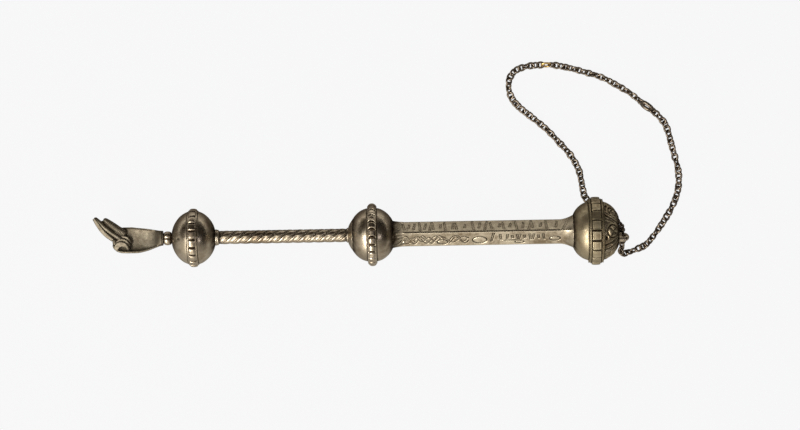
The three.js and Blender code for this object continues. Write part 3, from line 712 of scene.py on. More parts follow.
SILVER = MetalFinish(
    "old_silver", "silver",
    clean=(0.62, 0.54, 0.42), tarnished=(0.25, 0.185, 0.12), dirt_and_shade=(0.035, 0.022, 0.013),
    clouding=1.0, soiling=0.5, smoothest=0.24, roughest=0.36, grain_depth=0.02)
SHAFT_SILVER = MetalFinish(
    "shaft_silver", "silver",
    clean=(0.68, 0.60, 0.46), tarnished=(0.27, 0.21, 0.14), dirt_and_shade=(0.035, 0.024, 0.014),
    clouding=1.0, soiling=0.7, smoothest=0.34, roughest=0.46, grain_depth=0.02)
HAND_SILVER = MetalFinish(
    "hand_silver", "silver",
    clean=(0.24, 0.21, 0.16), tarnished=(0.155, 0.127, 0.09), dirt_and_shade=(0.028, 0.019, 0.012),
    clouding=0.8, soiling=0.3, smoothest=0.5, roughest=0.6, grain_depth=0.008)
GOLDEN_SILVER = MetalFinish(
    "golden_silver", "golden_silver",
    clean=(0.50, 0.43, 0.295), tarnished=(0.25, 0.185, 0.11), dirt_and_shade=(0.03, 0.02, 0.012),
    clouding=1.0, soiling=0.4, smoothest=0.36, roughest=0.5, grain_depth=0.02)
CHAIN_SILVER = MetalFinish(
    "chain_silver", "dark_silver",
    clean=(0.25, 0.205, 0.16), tarnished=(0.05, 0.036, 0.026), dirt_and_shade=(0.012, 0.009, 0.007),
    clouding=1.0, soiling=0.3, smoothest=0.25, roughest=0.4, grain_depth=0.01)
LINK_BRASS = MetalFinish(
    "link_brass", "brass",
    clean=(0.80, 0.56, 0.22), tarnished=(0.50, 0.33, 0.12), dirt_and_shade=(0.06, 0.04, 0.02),
    clouding=1.0, soiling=0.3, smoothest=0.25, roughest=0.4, grain_depth=0.01)


@dataclass(frozen=True)
class WearAndPaintedLight:
    """Where a piece is dirty or darkened by painted shade, and where it is rubbed or lightened by painted
    light, in its own millimetres.

    passes says how wide its hollows are looked for, and depth how deep one is filled with dirt and painted
    shade.
    Edges past the crease, an angle in degrees, stay sharp, and 0 leaves none sharp. Each neck is
    a place along the piece where dirt and painted shade gather, with its reach. Its side-light strength
    says how much lighter the +Y side is painted, as painted light, from 0 to 1.
    """

    passes: int
    depth: float
    crease: float = 0.0
    necks: Sequence[Span] = ()
    side_light_strength: float = 0.0
    side_light_from: float = 1.5

    def added_dirt_and_shade(self, along: np.ndarray) -> np.ndarray:
        """How much dirt and painted shade the necks gather, for places along the piece."""
        drifts = (np.exp(-(((along - neck) / reach) ** 2)) for neck, reach in self.necks)
        return sum(drifts, np.zeros_like(along))

    def side_light(self, across: np.ndarray) -> np.ndarray:
        """How much painted light lightens each place at least, for places across the piece."""
        return self.side_light_strength * np.clip(across / self.side_light_from, 0, 1)


# The hand darkens with tarnish and with painted shade in its palm's trough and at the cuff's neck.
HAND_WEAR_AND_SHADE = WearAndPaintedLight(passes=16, depth=0.35, necks=((-0.45, 0.25),))
TURNED_WEAR = WearAndPaintedLight(passes=4, depth=0.1)
# The shaft's +Y side is painted lighter, as painted light, and its foot darkens with dirt and painted shade.
SHAFT_WEAR_AND_LIGHT = WearAndPaintedLight(passes=6, depth=0.06, necks=((0.0, 2.5),), side_light_strength=1.0)
BAND_WEAR = WearAndPaintedLight(passes=24, depth=0.14, crease=60)
LUG_WEAR = WearAndPaintedLight(passes=3, depth=0.1)
RING_WEAR = WearAndPaintedLight(passes=2, depth=0.05)
LINK_WEAR = WearAndPaintedLight(passes=2, depth=0.06)


class Workshop:
    """Builds each finish once, and places and dresses finished pieces."""

    def __init__(self) -> None:
        """Builds the shared group."""
        self.group = OldSilver().group()
        self.finishes: dict[str, bpy.types.Material] = {}

    def finish(self, finish: MetalFinish) -> bpy.types.Material:
        """The finish's material, built the first time it is asked for."""
        if finish.name not in self.finishes:
            self.finishes[finish.name] = finish.material(self.group)
        return self.finishes[finish.name]

    def hand_over(self, piece: bpy.types.Object, placing: Matrix, finish: MetalFinish,
                  nodes: Sequence[str], wear: WearAndPaintedLight) -> None:
        """Places a finished piece over its solids, and gives it its finish and body.

        Args:
            piece: The mesh object, in millimetres.
            placing: From its millimetres to metres in the row's frame.
            finish: Its surface.
            nodes: The solids that it stands for.
            wear: Its dirty and its rubbed places, and where painted shade darkens it and painted light
                lightens it.
        """
        along, across, _ = corners(piece).T
        added_dirt_and_shade, side_light = wear.added_dirt_and_shade(along), wear.side_light(across)
        piece.data.transform(placing)
        pick(piece)
        if wear.crease:
            bpy.ops.object.shade_smooth_by_angle(angle=math.radians(wear.crease))
        else:
            bpy.ops.object.shade_smooth()
        mark_hollows(piece, wear.passes, wear.depth * MM, added_dirt_and_shade, side_light)
        piece.data.materials.clear()
        piece.data.materials.append(self.finish(finish))
        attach(piece, "root")
        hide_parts(*nodes)
        log.info("%s: %d faces, stands for %s", piece.name, len(piece.data.polygons), ", ".join(nodes))


# The pointer's places, all from the sizes of its pieces


@dataclass(frozen=True)
class Knop:
    """A hollow ball pressed flat along the pointer, with a band let in round its middle."""

    name: str
    reach: float
    radius: float
    fullness: float
    band_radius: float
    band_width: float
    left_seat: float
    right_seat: float
    band_sink: float = 0.7

    def radius_at(self, along: np.ndarray) -> np.ndarray:
        """The bare ball's radius at a distance from its middle."""
        share = np.clip(np.abs(along) / self.reach, 0, 1)
        return self.radius * (1 - share**self.fullness) ** (1 / self.fullness)

    def seat(self, seat_radius: float) -> float:
        """How far from the middle the ball has this radius."""
        return self.reach * (1 - (seat_radius / self.radius) ** self.fullness) ** (1 / self.fullness)

    @property
    def left(self) -> float:
        """Distance from the middle to the left neighbour."""
        return self.seat(self.left_seat)

    @property
    def right(self) -> float:
        """Distance from the middle to the right neighbour."""
        return self.seat(self.right_seat)


@dataclass(frozen=True)
class Layout:
    """Where each piece stands along the pointer, in millimetres from the middle knop's middle."""

    hand_knop: Knop = Knop("hand_knop", 10.0, 12.1, 2.0, 13.1, 4.3, 3.4, 3.6)
    middle_knop: Knop = Knop("middle_knop", 10.4, 12.1, 2.15, 13.9, 4.1, 6.9, 6.1)
    end_knop: Knop = Knop("end_knop", 11.2, 13.4, 2.4, 15.2, 6.4, 7.3, 6.4)
    bead_length: float = 4.0
    collar_length: float = 1.8
    stem_length: float = 57.0
    ferrule_length: float = 2.5
    shaft_length: float = 80.3

    @property
    def shaft_start(self) -> float:
        """Where the square shaft starts."""
        return self.middle_knop.right + SEAM

    @property
    def end_knop_at(self) -> float:
        """The end knop's middle."""
        return self.shaft_start + self.shaft_length + SEAM + self.end_knop.left

    @property
    def end_face(self) -> float:
        """The flat face that the lug stands on."""
        return self.end_knop_at + self.end_knop.right

    @property
    def ferrule_end(self) -> float:
        """Where the ferrule's cup meets the middle knop."""
        return -self.middle_knop.left - SEAM

    @property
    def stem_start(self) -> float:
        """Where the twisted stem starts."""
        return self.ferrule_end - self.ferrule_length - SEAM - self.stem_length

    @property
    def collar_start(self) -> float:
        """Where the stem's collar starts."""
        return self.stem_start - SEAM - self.collar_length

    @property
    def hand_knop_at(self) -> float:
        """The hand knop's middle."""
        return self.collar_start - SEAM - self.hand_knop.right

    @property
    def bead_end(self) -> float:
        """Where the wrist bead meets the hand knop."""
        return self.hand_knop_at - self.hand_knop.left - SEAM

    @property
    def hand_start(self) -> float:
        """Where the hand's cuff meets the wrist bead."""
        return self.bead_end - self.bead_length - SEAM

    @property
    def tilt(self) -> float:
        """How much the pointer rises from the hand to the end, lying on its outer bands."""
        rise = self.end_knop.band_radius - self.hand_knop.band_radius
        return math.atan2(rise, self.end_knop_at - self.hand_knop_at)

    @property
    def height(self) -> float:
        """The axis's height over the floor at the middle knop."""
        low = self.hand_knop.band_radius * math.cos(self.tilt)
        return low - self.hand_knop_at * math.sin(self.tilt) - FLAT_DEPTH

    def placing(self, along: float) -> Matrix:
        """From millimetres around a place on the pointer to metres in the row's frame."""
        return (Matrix.Translation((0, 0, self.height * MM))
                @ Matrix.Rotation(-self.tilt, 4, "Y")
                @ Matrix.Scale(MM, 4)
                @ Matrix.Translation((along, 0, 0)))


def floor_cut(piece: bpy.types.Object, layout: Layout, along: float) -> None:
    """Presses whatever lies under the floor flat on it.

    Args:
        piece: A mesh in millimetres around its own place.
        layout: The pointer's layout.
        along: The piece's place along the pointer.
    """
    places = corners(piece)
    sine, cosine = math.sin(layout.tilt), math.cos(layout.tilt)
    height = (places[:, 0] + along) * sine + places[:, 2] * cosine + layout.height
    places[:, 2] -= np.minimum(height, 0) / cosine
    set_corners(piece, places)


# Knops and their bands


def ramp(inside: np.ndarray, width: float) -> np.ndarray:
    """Rises from 0 at an edge to 1 at a width inside it."""
    return np.clip(inside / width, 0, 1)


def turned_by(angle: np.ndarray, middle: float) -> np.ndarray:
    """How far angles in radians are turned from a middle in degrees, from -180 to 180 degrees."""
    return np.mod(np.degrees(angle) - middle + 180, 360) - 180


class Motif(Enum):
    """One kind of ornament on the end knop's leafed cap."""

    SCROLL = "scroll"
    VINE = "vine"
    ROSETTE = "rosette"
    LEAF = "leaf"


@dataclass
class KnopDresser:
    """Models the three hollow balls."""

    steps: int = 144
    side_steps: int = 26
    lip: float = 0.25
    dents: Sequence[Place] = ((-8.0, -34.0, 0.9), (-6.2, 2.0, 0.7))
    dent_depth: float = 0.45
    swell_grain: float = 5.0
    swell_height: float = 0.16

    def side(self, knop: Knop, start: float, end: float, steps: int) -> list[Span]:
        """One side of the ball's profile, from the lip beside the band out to its seat.

        Args:
            knop: The knop's sizes.
            start: Where the side starts, from the ball's middle.
            end: Where it ends.
            steps: How many places it has.

        Returns:
            Places along the pointer and their radii.
        """
        turn = np.sin(np.linspace(0, math.pi / 2, steps))
        places = [(float(a), float(knop.radius_at(a))) for a in start + (end - start) * turn]
        top = places[0][1]
        over = start + math.copysign(self.lip / 2, start)
        return [(start, top - self.lip), (over, top - self.lip * 0.2), *places[1:]]

    def body(self, knop: Knop, fineness: int = 1) -> bpy.types.Object:
        """The ball with its groove for the band.

        Args:
            knop: The knop's sizes.
            fineness: How many times finer its outer side and its steps are, for carving.

        Returns:
            The ball around its own middle.
        """
        half = knop.band_width / 2 + SEAM
        sunk = knop.radius - knop.band_sink - SEAM
        left = self.side(knop, -half, -knop.left, self.side_steps)
        right = self.side(knop, half, knop.right, self.side_steps * fineness)
        profile = [(-knop.left, 0.0), *reversed(left), (-half, sunk), (half, sunk), *right,
                   (knop.right, 0.0)]
        return turned(knop.name, profile, self.steps * fineness)

    def dent(self, ball: bpy.types.Object) -> None:
        """Presses old dents into the ball, each at a place along, an angle and with a reach."""

        def dented(along: np.ndarray, radius: np.ndarray, angle: np.ndarray) -> tuple:
            """Sinks the places near each dent."""
            sink = np.zeros_like(along)
            for place, turn, size in self.dents:
                aside = np.radians(turned_by(angle, turn)) * radius
                sink += self.dent_depth * np.exp(-(np.hypot(along - place, aside) / size) ** 2)
            return along, radius - sink, angle

        reshape(ball, dented)


@dataclass
class EndCap:
    """Scrolls, vines, rosettes and leaves on the end knop's outer side.

    Each ornament's sizes are millimetres from the band, and to both sides of its middle.
    """

    knop: Knop
    order: Sequence[tuple[Motif, float]] = (
        (Motif.SCROLL, -52), (Motif.VINE, -27), (Motif.ROSETTE, 1), (Motif.LEAF, 30), (Motif.LEAF, 54),
        (Motif.SCROLL, 84), (Motif.VINE, 110), (Motif.ROSETTE, 139), (Motif.LEAF, 169),
        (Motif.LEAF, 193), (Motif.VINE, 216), (Motif.ROSETTE, 244), (Motif.LEAF, 275),
    )
    mean_radius: float = 11.3
    depth: float = 0.8
    line: float = 0.6
    pocket: float = 0.8
    scroll_middle: float = 5.0
    scroll_sizes: Span = (2.7, 1.0)
    scroll_width: float = 1.15
    scroll_turn: float = 7.2
    scroll_start: float = 2.4
    vine: Sequence[Span] = ((0.5, -1.2), (2.6, -0.6), (5.0, -0.2), (8.0, 0.6), (10.8, 0.6))
    rosette_middle: float = 5.2
    rosette_reach: Span = (3.5, 3.2)
    petals: int = 4
    petal_length: float = 2.5
    petal_turn: float = 0.6
    leaf_edge: Sequence[Span] = ((0.5, 2.3), (3.0, 2.2), (6.2, 1.0), (10.0, -1.2))
    leaf_vein: Sequence[Span] = ((0.8, 0.2), (3.6, -0.4), (6.8, -1.3), (9.4, -2.2))

    def outlines(self, motif: Motif) -> list[Stroke]:
        """One ornament's cut outlines, in millimetres from the band and to both sides of its middle.

        Args:
            motif: Which ornament.

        Returns:
            Its strokes.
        """
        if motif is Motif.SCROLL:
            steps = 30
            turns = self.scroll_start + self.scroll_turn * np.linspace(0, 1, steps)
            sizes = np.linspace(*self.scroll_sizes, steps)
            return run_through([
                (self.scroll_middle + self.scroll_width * size * math.cos(turn), size * math.sin(turn))
                for turn, size in zip(turns, sizes)])
        if motif is Motif.VINE:
            return run_through(self.vine)
        if motif is Motif.ROSETTE:
            middle = self.rosette_middle
            strokes = oval_line(middle, 0.0, *self.rosette_reach)
            for petal in range(self.petals):
                turn = petal / self.petals * FULL_TURN + self.petal_turn
                tip = (self.petal_length * math.cos(turn), self.petal_length * math.sin(turn))
                strokes.append((middle, 0.0, middle + tip[0], tip[1], 1.0))
            return strokes
        return [*run_through(self.leaf_edge), *run_through(self.leaf_vein)]

    def pockets(self, motif: Motif) -> list[Stroke]:
        """The deep pockets beside one ornament, given as its outlines are.

        Args:
            motif: Which ornament.

        Returns:
            Its strokes.
        """
        if motif is Motif.SCROLL:
            return [(1.0, -1.6, 1.0, 0.8, 0.8)]
        if motif is Motif.VINE:
            return [(1.0, 0.3, 5.0, 0.8, 0.9)]
        if motif is Motif.ROSETTE:
            middle = self.rosette_middle
            return [(1.0, 2.6, 1.01, 2.5, 0.9), (middle, 0.0, middle + 0.05, 0.05, 1.0)]
        return [(1.0, 1.2, 3.0, 0.7, 0.7)]

    def carve(self, ball: bpy.types.Object) -> None:
        """Cuts the ornaments' outlines and pockets into the outer side of the ball.

        Args:
            ball: The end knop's ball, round its own middle.
        """
        start = self.knop.band_width / 2 + 0.35
        steepest = 6
        fade_in, fade_out = 0.4, 0.5
        marks = np.linspace(0, self.knop.right, 400)
        radii = self.knop.radius_at(marks)
        run = run_along(np.column_stack((marks, radii)))
        run -= np.interp(start, marks, run)

        def carved(along: np.ndarray, radius: np.ndarray, angle: np.ndarray) -> tuple:
            """Sinks each place along the ball's own slope."""
            out = np.interp(along, marks, run)
            cut = np.zeros_like(out)
            for motif, middle in self.order:
                aside = np.radians(turned_by(angle, middle)) * self.mean_radius
                cut = np.maximum(cut, stroked(out, aside, self.outlines(motif), self.line))
                cut = np.maximum(cut, stroked(out, aside, self.pockets(motif), self.pocket, power=3.0))
            edge = ramp(out, fade_in) * ramp(run[-1] - out, fade_out)
            on_ball = (along > start) & (radius > self.knop.right_seat - 0.2)
            sink = np.where(on_ball, self.depth * cut * edge, 0.0)
            slope = np.interp(along, marks, np.gradient(radii, marks).clip(-steepest, 0))
            length = np.hypot(1, slope)
            return along + sink * slope / length, radius - sink / length, angle

        reshape(ball, carved)


@dataclass
class Bands:
    """The three bands round the knops, each with its own ornament."""

    layout: Layout
    hand_tiles: int = 21
    hand_first: float = 3.0
    middle_flutes: int = 24
    middle_first: float = -2.0
    end_tiles: int = 20
    end_first: float = -1.0
    end_rim_width: float = 1.2
    bevel: float = 0.2
    edge_fall: float = 2.6
    rim_width: float = 0.16
    tile_edge: float = 0.2
    hand_drop: float = 0.5
    hand_tile: Span = (0.8, 0.4)
    hand_depth: float = 0.5
    hand_pillow: float = 0.02
    hand_rim: Span = (0.95, 0.3)
    middle_drop: float = 0.45
    arch_width: float = 0.84
    arch_start: float = 0.3
    arch_rise: float = 0.16
    dent_depth: float = 0.95
    dent_reach: Span = (0.07, 0.17)
    lip_height: float = 0.12
    lip_place: Span = (0.2, 0.08)
    end_drop: float = 0.3
    end_depth: float = 0.75
    slot: Span = (0.26, 0.22)
    panel_inset: Span = (0.75, 0.55)
    panel_edge: float = 0.15
    panel_depth: float = 0.07
    end_rim: Span = (0.42, 0.35)
    end_lip: Place = (0.1, 0.2, 0.1)

    def crown(self, band: bpy.types.Object, knop: Knop, drop: float) -> bpy.types.Object:
        """Rounds a band across, so that its edges run down to the ball.

        Args:
            band: The band.
            knop: Its knop.
            drop: How much lower the edges are, as a share of the band's thickness.

        Returns:
            The same band.
        """
        inner, half = knop.radius - knop.band_sink, knop.band_width / 2

        def rounded(along: np.ndarray, radius: np.ndarray, angle: np.ndarray) -> tuple:
            """Lowers what lies towards the edges."""
            low = 1 - drop * np.clip(np.abs(along) / half, 0, 1) ** self.edge_fall
            return along, inner + (radius - inner) * low, angle

        reshape(band, rounded)
        return band

    def pressed(self, name: str, knop: Knop, steps: int, height: Pattern) -> bpy.types.Object:
        """A ring with its ornament pressed into its outer side.

        Args:
            name: Its name.
            knop: Its knop.
            steps: Steps round it.
            height: How far the ornament stands out, from the place along and the angle.

        Returns:
            The ring round its knop's middle.
        """
        inner, outer, half = knop.radius - knop.band_sink, knop.band_radius, knop.band_width / 2
        edge = outer - self.bevel
        across = np.linspace(-half + self.bevel, half - self.bevel, 41)
        profile = [(-half, inner), (-half, edge), *((float(a), outer) for a in across), (half, edge),
                   (half, inner), (-half, inner)]
        band = turned(name, profile, steps)

        def patterned(along: np.ndarray, radius: np.ndarray, angle: np.ndarray) -> tuple:
            """Raises or sinks what lies on the outer side."""
            proud = radius > outer - self.bevel / 2
            return along, radius + np.where(proud, height(along, angle), 0.0), angle

        reshape(band, patterned)
        return band

    def rim(self, across: np.ndarray, middle: float) -> np.ndarray:
        """A thin raised line at a distance from the band's middle, from 0 to 1."""
        return np.exp(-(((across - middle) / self.rim_width) ** 2))

    @staticmethod
    def step(angle: np.ndarray, first: float, count: int) -> np.ndarray:
        """Where an angle lies between two grooves, from 0 to 1."""
        return np.mod((angle - math.radians(first)) / FULL_TURN * count, 1.0)

    def hand_band(self) -> bpy.types.Object:
        """A ring of wide pillowed tiles between two thin rims."""
        knop = self.layout.hand_knop
        half = knop.band_width / 2
        pitch = FULL_TURN * knop.band_radius / self.hand_tiles

        def height(along: np.ndarray, angle: np.ndarray) -> np.ndarray:
            """Tiles with a narrow sunk bar between each two."""
            away = np.abs(self.step(angle, self.hand_first, self.hand_tiles) - 0.5) * pitch
            across = np.abs(along)
            wide, long = half * self.hand_tile[0], pitch * self.hand_tile[1]
            tile = ramp(long - away, self.tile_edge) * ramp(wide - across, self.tile_edge)
            rim = self.hand_rim[1] * self.rim(across, half * self.hand_rim[0])
            return self.hand_depth * (tile * (1 - self.hand_pillow * away**2) - 1) + rim

        band = self.pressed("hand_knop_band", knop, self.hand_tiles * 20, height)
        return self.crown(band, knop, self.hand_drop)

    def middle_band(self) -> bpy.types.Object:
        """A smooth ring with an arched thumbprint in each of its steps."""
        knop = self.layout.middle_knop
        half = knop.band_width / 2

        def height(along: np.ndarray, angle: np.ndarray) -> np.ndarray:
            """One arched dent in each step, with a raised lip under it."""
            side = np.abs(along) / (half * self.arch_width)
            step = self.step(angle, self.middle_first, self.middle_flutes)
            below = step - self.arch_start - self.arch_rise * side**2
            inside = np.clip(1 - side**4, 0, 1)
            dent = np.exp(-((below / np.where(below < 0, *self.dent_reach)) ** 2))
            lip = np.exp(-(((below + self.lip_place[0]) / self.lip_place[1]) ** 2))
            return (self.lip_height * lip - self.dent_depth * dent) * inside

        band = self.pressed("middle_knop_band", knop, self.middle_flutes * 24, height)
        return self.crown(band, knop, self.middle_drop)

    def end_band(self) -> bpy.types.Object:
        """A ring of long framed tiles between thin rims."""
        knop = self.layout.end_knop
        half = knop.band_width / 2
        tile_half = half - self.end_rim_width
        pitch = FULL_TURN * knop.band_radius / self.end_tiles

        def height(along: np.ndarray, angle: np.ndarray) -> np.ndarray:
            """Tiles with a faint sunk panel, a slot between each two, and a rim on each side."""
            away = pitch / 2 - np.abs(self.step(angle, self.end_first, self.end_tiles) - 0.5) * pitch
            across = np.abs(along)
            tile = ramp(away - self.slot[0], self.slot[1]) * ramp(tile_half - across, self.tile_edge)
            panel = (ramp(away - self.panel_inset[0], self.panel_edge)
                     * ramp(tile_half - self.panel_inset[1] - across, self.panel_edge))
            rim = self.end_rim[1] * self.rim(across, tile_half + self.end_rim[0])
            inset, width, high = self.end_lip
            lip = high * np.exp(-(((across - half + inset) / width) ** 2))
            return self.end_depth * (tile - 1) - self.panel_depth * panel + rim + lip

        band = self.pressed("end_knop_band", knop, self.end_tiles * 24, height)
        return self.crown(band, knop, self.end_drop)


# Bead, collar, stem and ferrule


@dataclass
class StemParts:
    """The lobed bead, the twisted bar and the small rings at its ends."""

    layout: Layout
    bead_radius: float = 3.4
    bead_lobes: int = 4
    collar_radius: float = 3.6
    stem_radius: float = 3.05
    stem_edges: int = 4
    stem_lead: float = 18.8
    ferrule_radius: float = 3.3
    cup_radius: float = 6.9
    cup_length: float = 1.9
    bead_fullness: float = 0.42
    bead_furrow: float = 0.2
    collar_profile: Sequence[Span] = (
        (-1.0, 0.0), (-1.0, 0.94), (-0.8, 1.0), (-0.2, 1.0), (0.0, 0.93), (0.15, 0.97), (0.6, 0.95),
        (0.8, 0.86), (1.0, 0.82), (1.0, 0.0),
    )
    cup_opening: float = 0.75
    lobe_rise: float = 0.16
    lobe_fullness: float = 2.4
    furrow_cuts: Sequence[Place] = ((0.20, 0.04, 0.035), (0.16, 0.86, 0.03))
    rubbed_flat: Place = (0.05, 0.45, 0.2)

    def bead(self) -> bpy.types.Object:
        """A melon bead of a few lobes."""
        half = self.layout.bead_length / 2
        profile = [(-half * math.cos(turn), self.bead_radius * abs(math.sin(turn)) ** self.bead_fullness)
                   for turn in np.linspace(0, math.pi, 25)]
        bead = turned("wrist_bead", profile, self.bead_lobes * 20)

        def lobed(along: np.ndarray, radius: np.ndarray, angle: np.ndarray) -> tuple:
            """Furrows between the lobes."""
            crest = np.abs(np.sin(angle * self.bead_lobes / 2))
            return along, radius * (1 - self.bead_furrow * (1 - crest**0.5)), angle

        reshape(bead, lobed)
        return bead

    def collar(self) -> bpy.types.Object:
        """Two thin rings side by side where the stem starts."""
        half = self.layout.collar_length / 2
        profile = [(half * along, self.collar_radius * radius) for along, radius in self.collar_profile]
        return turned("stem_collar", profile, 72)

    def ferrule(self) -> bpy.types.Object:
        """A plain ring that opens into a shallow cup."""
        half, narrow = self.layout.ferrule_length / 2, self.ferrule_radius
        start = half - self.cup_length
        spread = self.cup_radius - narrow
        cup = [(float(start + self.cup_length * share), float(narrow + spread * share**self.cup_opening))
               for share in np.linspace(0.05, 1, 12)]
        profile = [(-half, 0.0), (-half, narrow * 0.96), (-half + 0.12, narrow), (start - 0.1, narrow),
                   (start, narrow * 0.97), *cup, (half, 0.0)]
        return turned("stem_ferrule", profile, 96)

    def stem(self) -> bpy.types.Object:
        """A square bar twisted on itself, with a fine cut on both sides of each furrow."""
        length = self.layout.stem_length
        line = bar("twisted_stem", length, 20, 21, 112)

        def twisted(along: np.ndarray, radius: np.ndarray, angle: np.ndarray) -> tuple:
            """The bar's section, turned step by step along it."""
            turns = (angle + along / self.stem_lead * FULL_TURN) / FULL_TURN * self.stem_edges
            edge, share = np.floor(turns), np.mod(turns, 1.0)
            crest = np.abs(share - 0.5) * 2
            section = np.sqrt(np.clip(1 - (crest * 1.01) ** self.lobe_fullness, 0, 1))
            lobe = 1 - self.lobe_rise * (1 - section)
            wear = 0.5 + 0.5 * np.sin(along * 0.9 + edge * 2.1)
            most, *flat = self.rubbed_flat
            for depth, middle, width in (*self.furrow_cuts, (most * wear, *flat)):
                lobe = lobe - depth * np.exp(-(((share - middle) / width) ** 2))
            return along, np.where(radius < NEAR_AXIS, radius, self.stem_radius * lobe), angle

        reshape(line, twisted)
        return line


# Square shaft


@dataclass
class Shaft:
    """The engraved square bar, round at both ends."""

    layout: Layout
    side: float = 7.87
    lower_face: int = 0
    upper_face: int = 3
    lean: float = 5.0
    foot_radius: float = 6.1
    foot_length: float = 4.2
    flare_radius: float = 7.3
    flare_length: float = 6.0
    edge_rounding: float = 0.32
    seam_across: float = 0.42
    cut_depth: float = 0.3
    cut_width: float = 0.24
    stroke_gap: float = 0.72
    seam_width: float = 0.24
    seam_depth: float = 1.15
    seam_stretch: Span = (4.0, 75.0)
    oval_share: float = 0.85
    lump_count: int = 90
    lump_height: float = 0.6
    lump_ground: float = 0.15
    foot_rounding: float = 1.2
    flare_rounding: float = 1.8
    round_steps: int = 136
    upper_marks: Sequence[Place] = (
        (4.8, 4.6, 3.6), (12.0, 4.8, 5.6), (17.9, 3.4, 3.6), (23.2, 3.6, 5.0), (28.2, 3.9, 3.8),
        (35.8, 5.6, 5.6), (43.8, 3.8, 3.4), (49.2, 3.1, 3.8), (55.0, 6.1, 5.6), (62.2, 3.8, 3.4),
        (68.4, 4.5, 5.0),
    )
    upper_row: Span = (0.3, 2.3)
    end_strokes: Sequence[Stroke] = ((75.2, -3.4, 78.2, 3.4, 0.8), (76.0, -3.4, 79.0, 3.4, 0.6))
    lower_marks: Sequence[Place] = (
        (44.4, 3.6, 4.6), (51.0, 4.6, 2.6), (56.4, 4.8, 2.8), (62.6, 4.6, 2.8),
    )
    lower_row: Span = (-0.6, 1.9)
    under_line: Stroke = (50.0, 1.4, 57.5, 1.1, 1.0)
    ovals: Sequence[Stroke] = (
        (22.1, 1.7, 2.4, 1.2), (38.7, 0.8, 3.2, 1.8), (72.2, 0.6, 2.4, 1.1), (56.5, 2.3, 2.0, 0.5),
    )
    borders: Sequence[Stroke] = ((5.4, 34.0, 2.3, 7.6), (1.6, 10.0, 1.2, 3.2))
    border_lines: Sequence[Place] = (
        (0.0, 1.0, 1.0), (math.pi, 0.9, 1.12), (0.6, 0.55, 0.8), (3.4, 0.7, 1.3),
    )
    border_middle: float = 0.2
    border_strength: float = 0.5
    rng: np.random.Generator = field(default_factory=lambda: np.random.default_rng(31))

    def lumps(self, along: np.ndarray, round_place: np.ndarray) -> np.ndarray:
        """Rough leaves and solder at the foot, where the shaft meets the middle knop."""
        ground, fade = 6, 8
        height = np.zeros_like(along)
        for _ in range(self.lump_count):
            x, y = self.rng.uniform(0.2, 6.2), self.rng.uniform(-4, 28)
            long, wide = self.rng.uniform(0.5, 1.3), self.rng.uniform(0.25, 0.5)
            high = self.rng.uniform(0.15, 0.45) * (1 - x / fade)
            height += high * np.exp(-(((along - x) / long) ** 2) - ((round_place - y) / wide) ** 2)
        return np.clip(height, 0, self.lump_height) - self.lump_ground * np.clip(1 - along / ground, 0, 1)

    def strokes(self, marks: Sequence[Place], middle: float, pitch: float) -> list[Stroke]:
        """Rows of leaning double strokes where the engraving runs.

        Args:
            marks: Start, width and height of each group.
            middle: The row's middle across the face.
            pitch: Distance between two double strokes.

        Returns:
            Each stroke's two ends, and its depth as a share.
        """
        cuts = []
        gap = self.stroke_gap / 2
        for start, width, height in marks:
            count = max(1, int(width / pitch))
            for i in range(count + 1):
                along = start + width * i / count
                tall = height * (self.rng.uniform(0.45, 0.7) if i % 2 else 1.0) / 2
                lean = math.tan(math.radians(self.rng.uniform(4, 14) * (1 if i % 3 else -1))) * tall
                shift = self.rng.uniform(-0.2, 0.2) * (height / 2 - tall)
                low, high = middle - tall + shift, middle + tall + shift
                for side in (-gap, gap):
                    cuts.append((along + side - lean, low, along + side * 0.7 + lean, high, 1.0))
                cuts.append((along - gap - lean, low, along + gap - lean, low, 0.8))
        return cuts

    def waves(self, start: float, end: float, reach: float, period: float) -> list[Stroke]:
        """A border of crossing waved lines.

        Args:
            start: Where it starts along the shaft.
            end: Where it ends.
            reach: How far it swings across the face.
            period: The length of one wave.

        Returns:
            Short strokes, as strokes gives them.
        """
        cuts = []
        along = np.arange(start, end, period / 14)
        for phase, size, slower in self.border_lines:
            swing = np.sin(along / period / slower * FULL_TURN + phase)
            across = self.border_middle + size * reach * swing
            cuts.extend((*line[:4], self.border_strength) for line in run_through(list(zip(along, across))))
        return cuts

    def model(self) -> bpy.types.Object:
        """The bar: a tube of fine steps, pressed square, cut and flared."""
        line = bar("square_shaft", self.layout.shaft_length, 32, 20, self.round_steps)
        reshape(line, self.pressed)
        return line

    def engraved(self, along: np.ndarray, across: np.ndarray, face: np.ndarray) -> np.ndarray:
        """How deep the two upper faces are cut, with the insides of their ovals left clear.

        Args:
            along: Places along the shaft.
            across: Places across their face.
            face: Each place's face.

        Returns:
            From 0 for none to 1 for a full cut.
        """
        half = self.side / 2
        low = np.where(face == self.lower_face, across, -across)
        cuts_low = self.strokes(self.lower_marks, *self.lower_row)
        for border in self.borders:
            cuts_low.extend(self.waves(*border))
        cuts_low.append(self.under_line)
        for oval in self.ovals:
            cuts_low.extend(oval_line(*oval))
        cuts_up = [*self.strokes(self.upper_marks, *self.upper_row), *self.end_strokes]
        cut = np.zeros_like(along)
        for number, cuts in ((self.lower_face, cuts_low), (self.upper_face, cuts_up)):
            here = face == number
            cut[here] = stroked(along[here], low[here], cuts, self.cut_width)
        for x, y, reach_x, reach_y in self.ovals:
            inside = np.hypot((along - x) / reach_x, (low - y) / reach_y) / self.oval_share
            cut = np.where((face == self.lower_face) & (inside < 1), 0.0, cut)
        from_edge = (half - across - self.seam_across) / self.seam_width
        seam = np.where(face == self.upper_face, self.seam_depth * np.exp(-(from_edge**2)), 0.0)
        start, end = self.seam_stretch
        return np.maximum(cut, seam * ramp(along - start, 2) * ramp(end - along, 1))

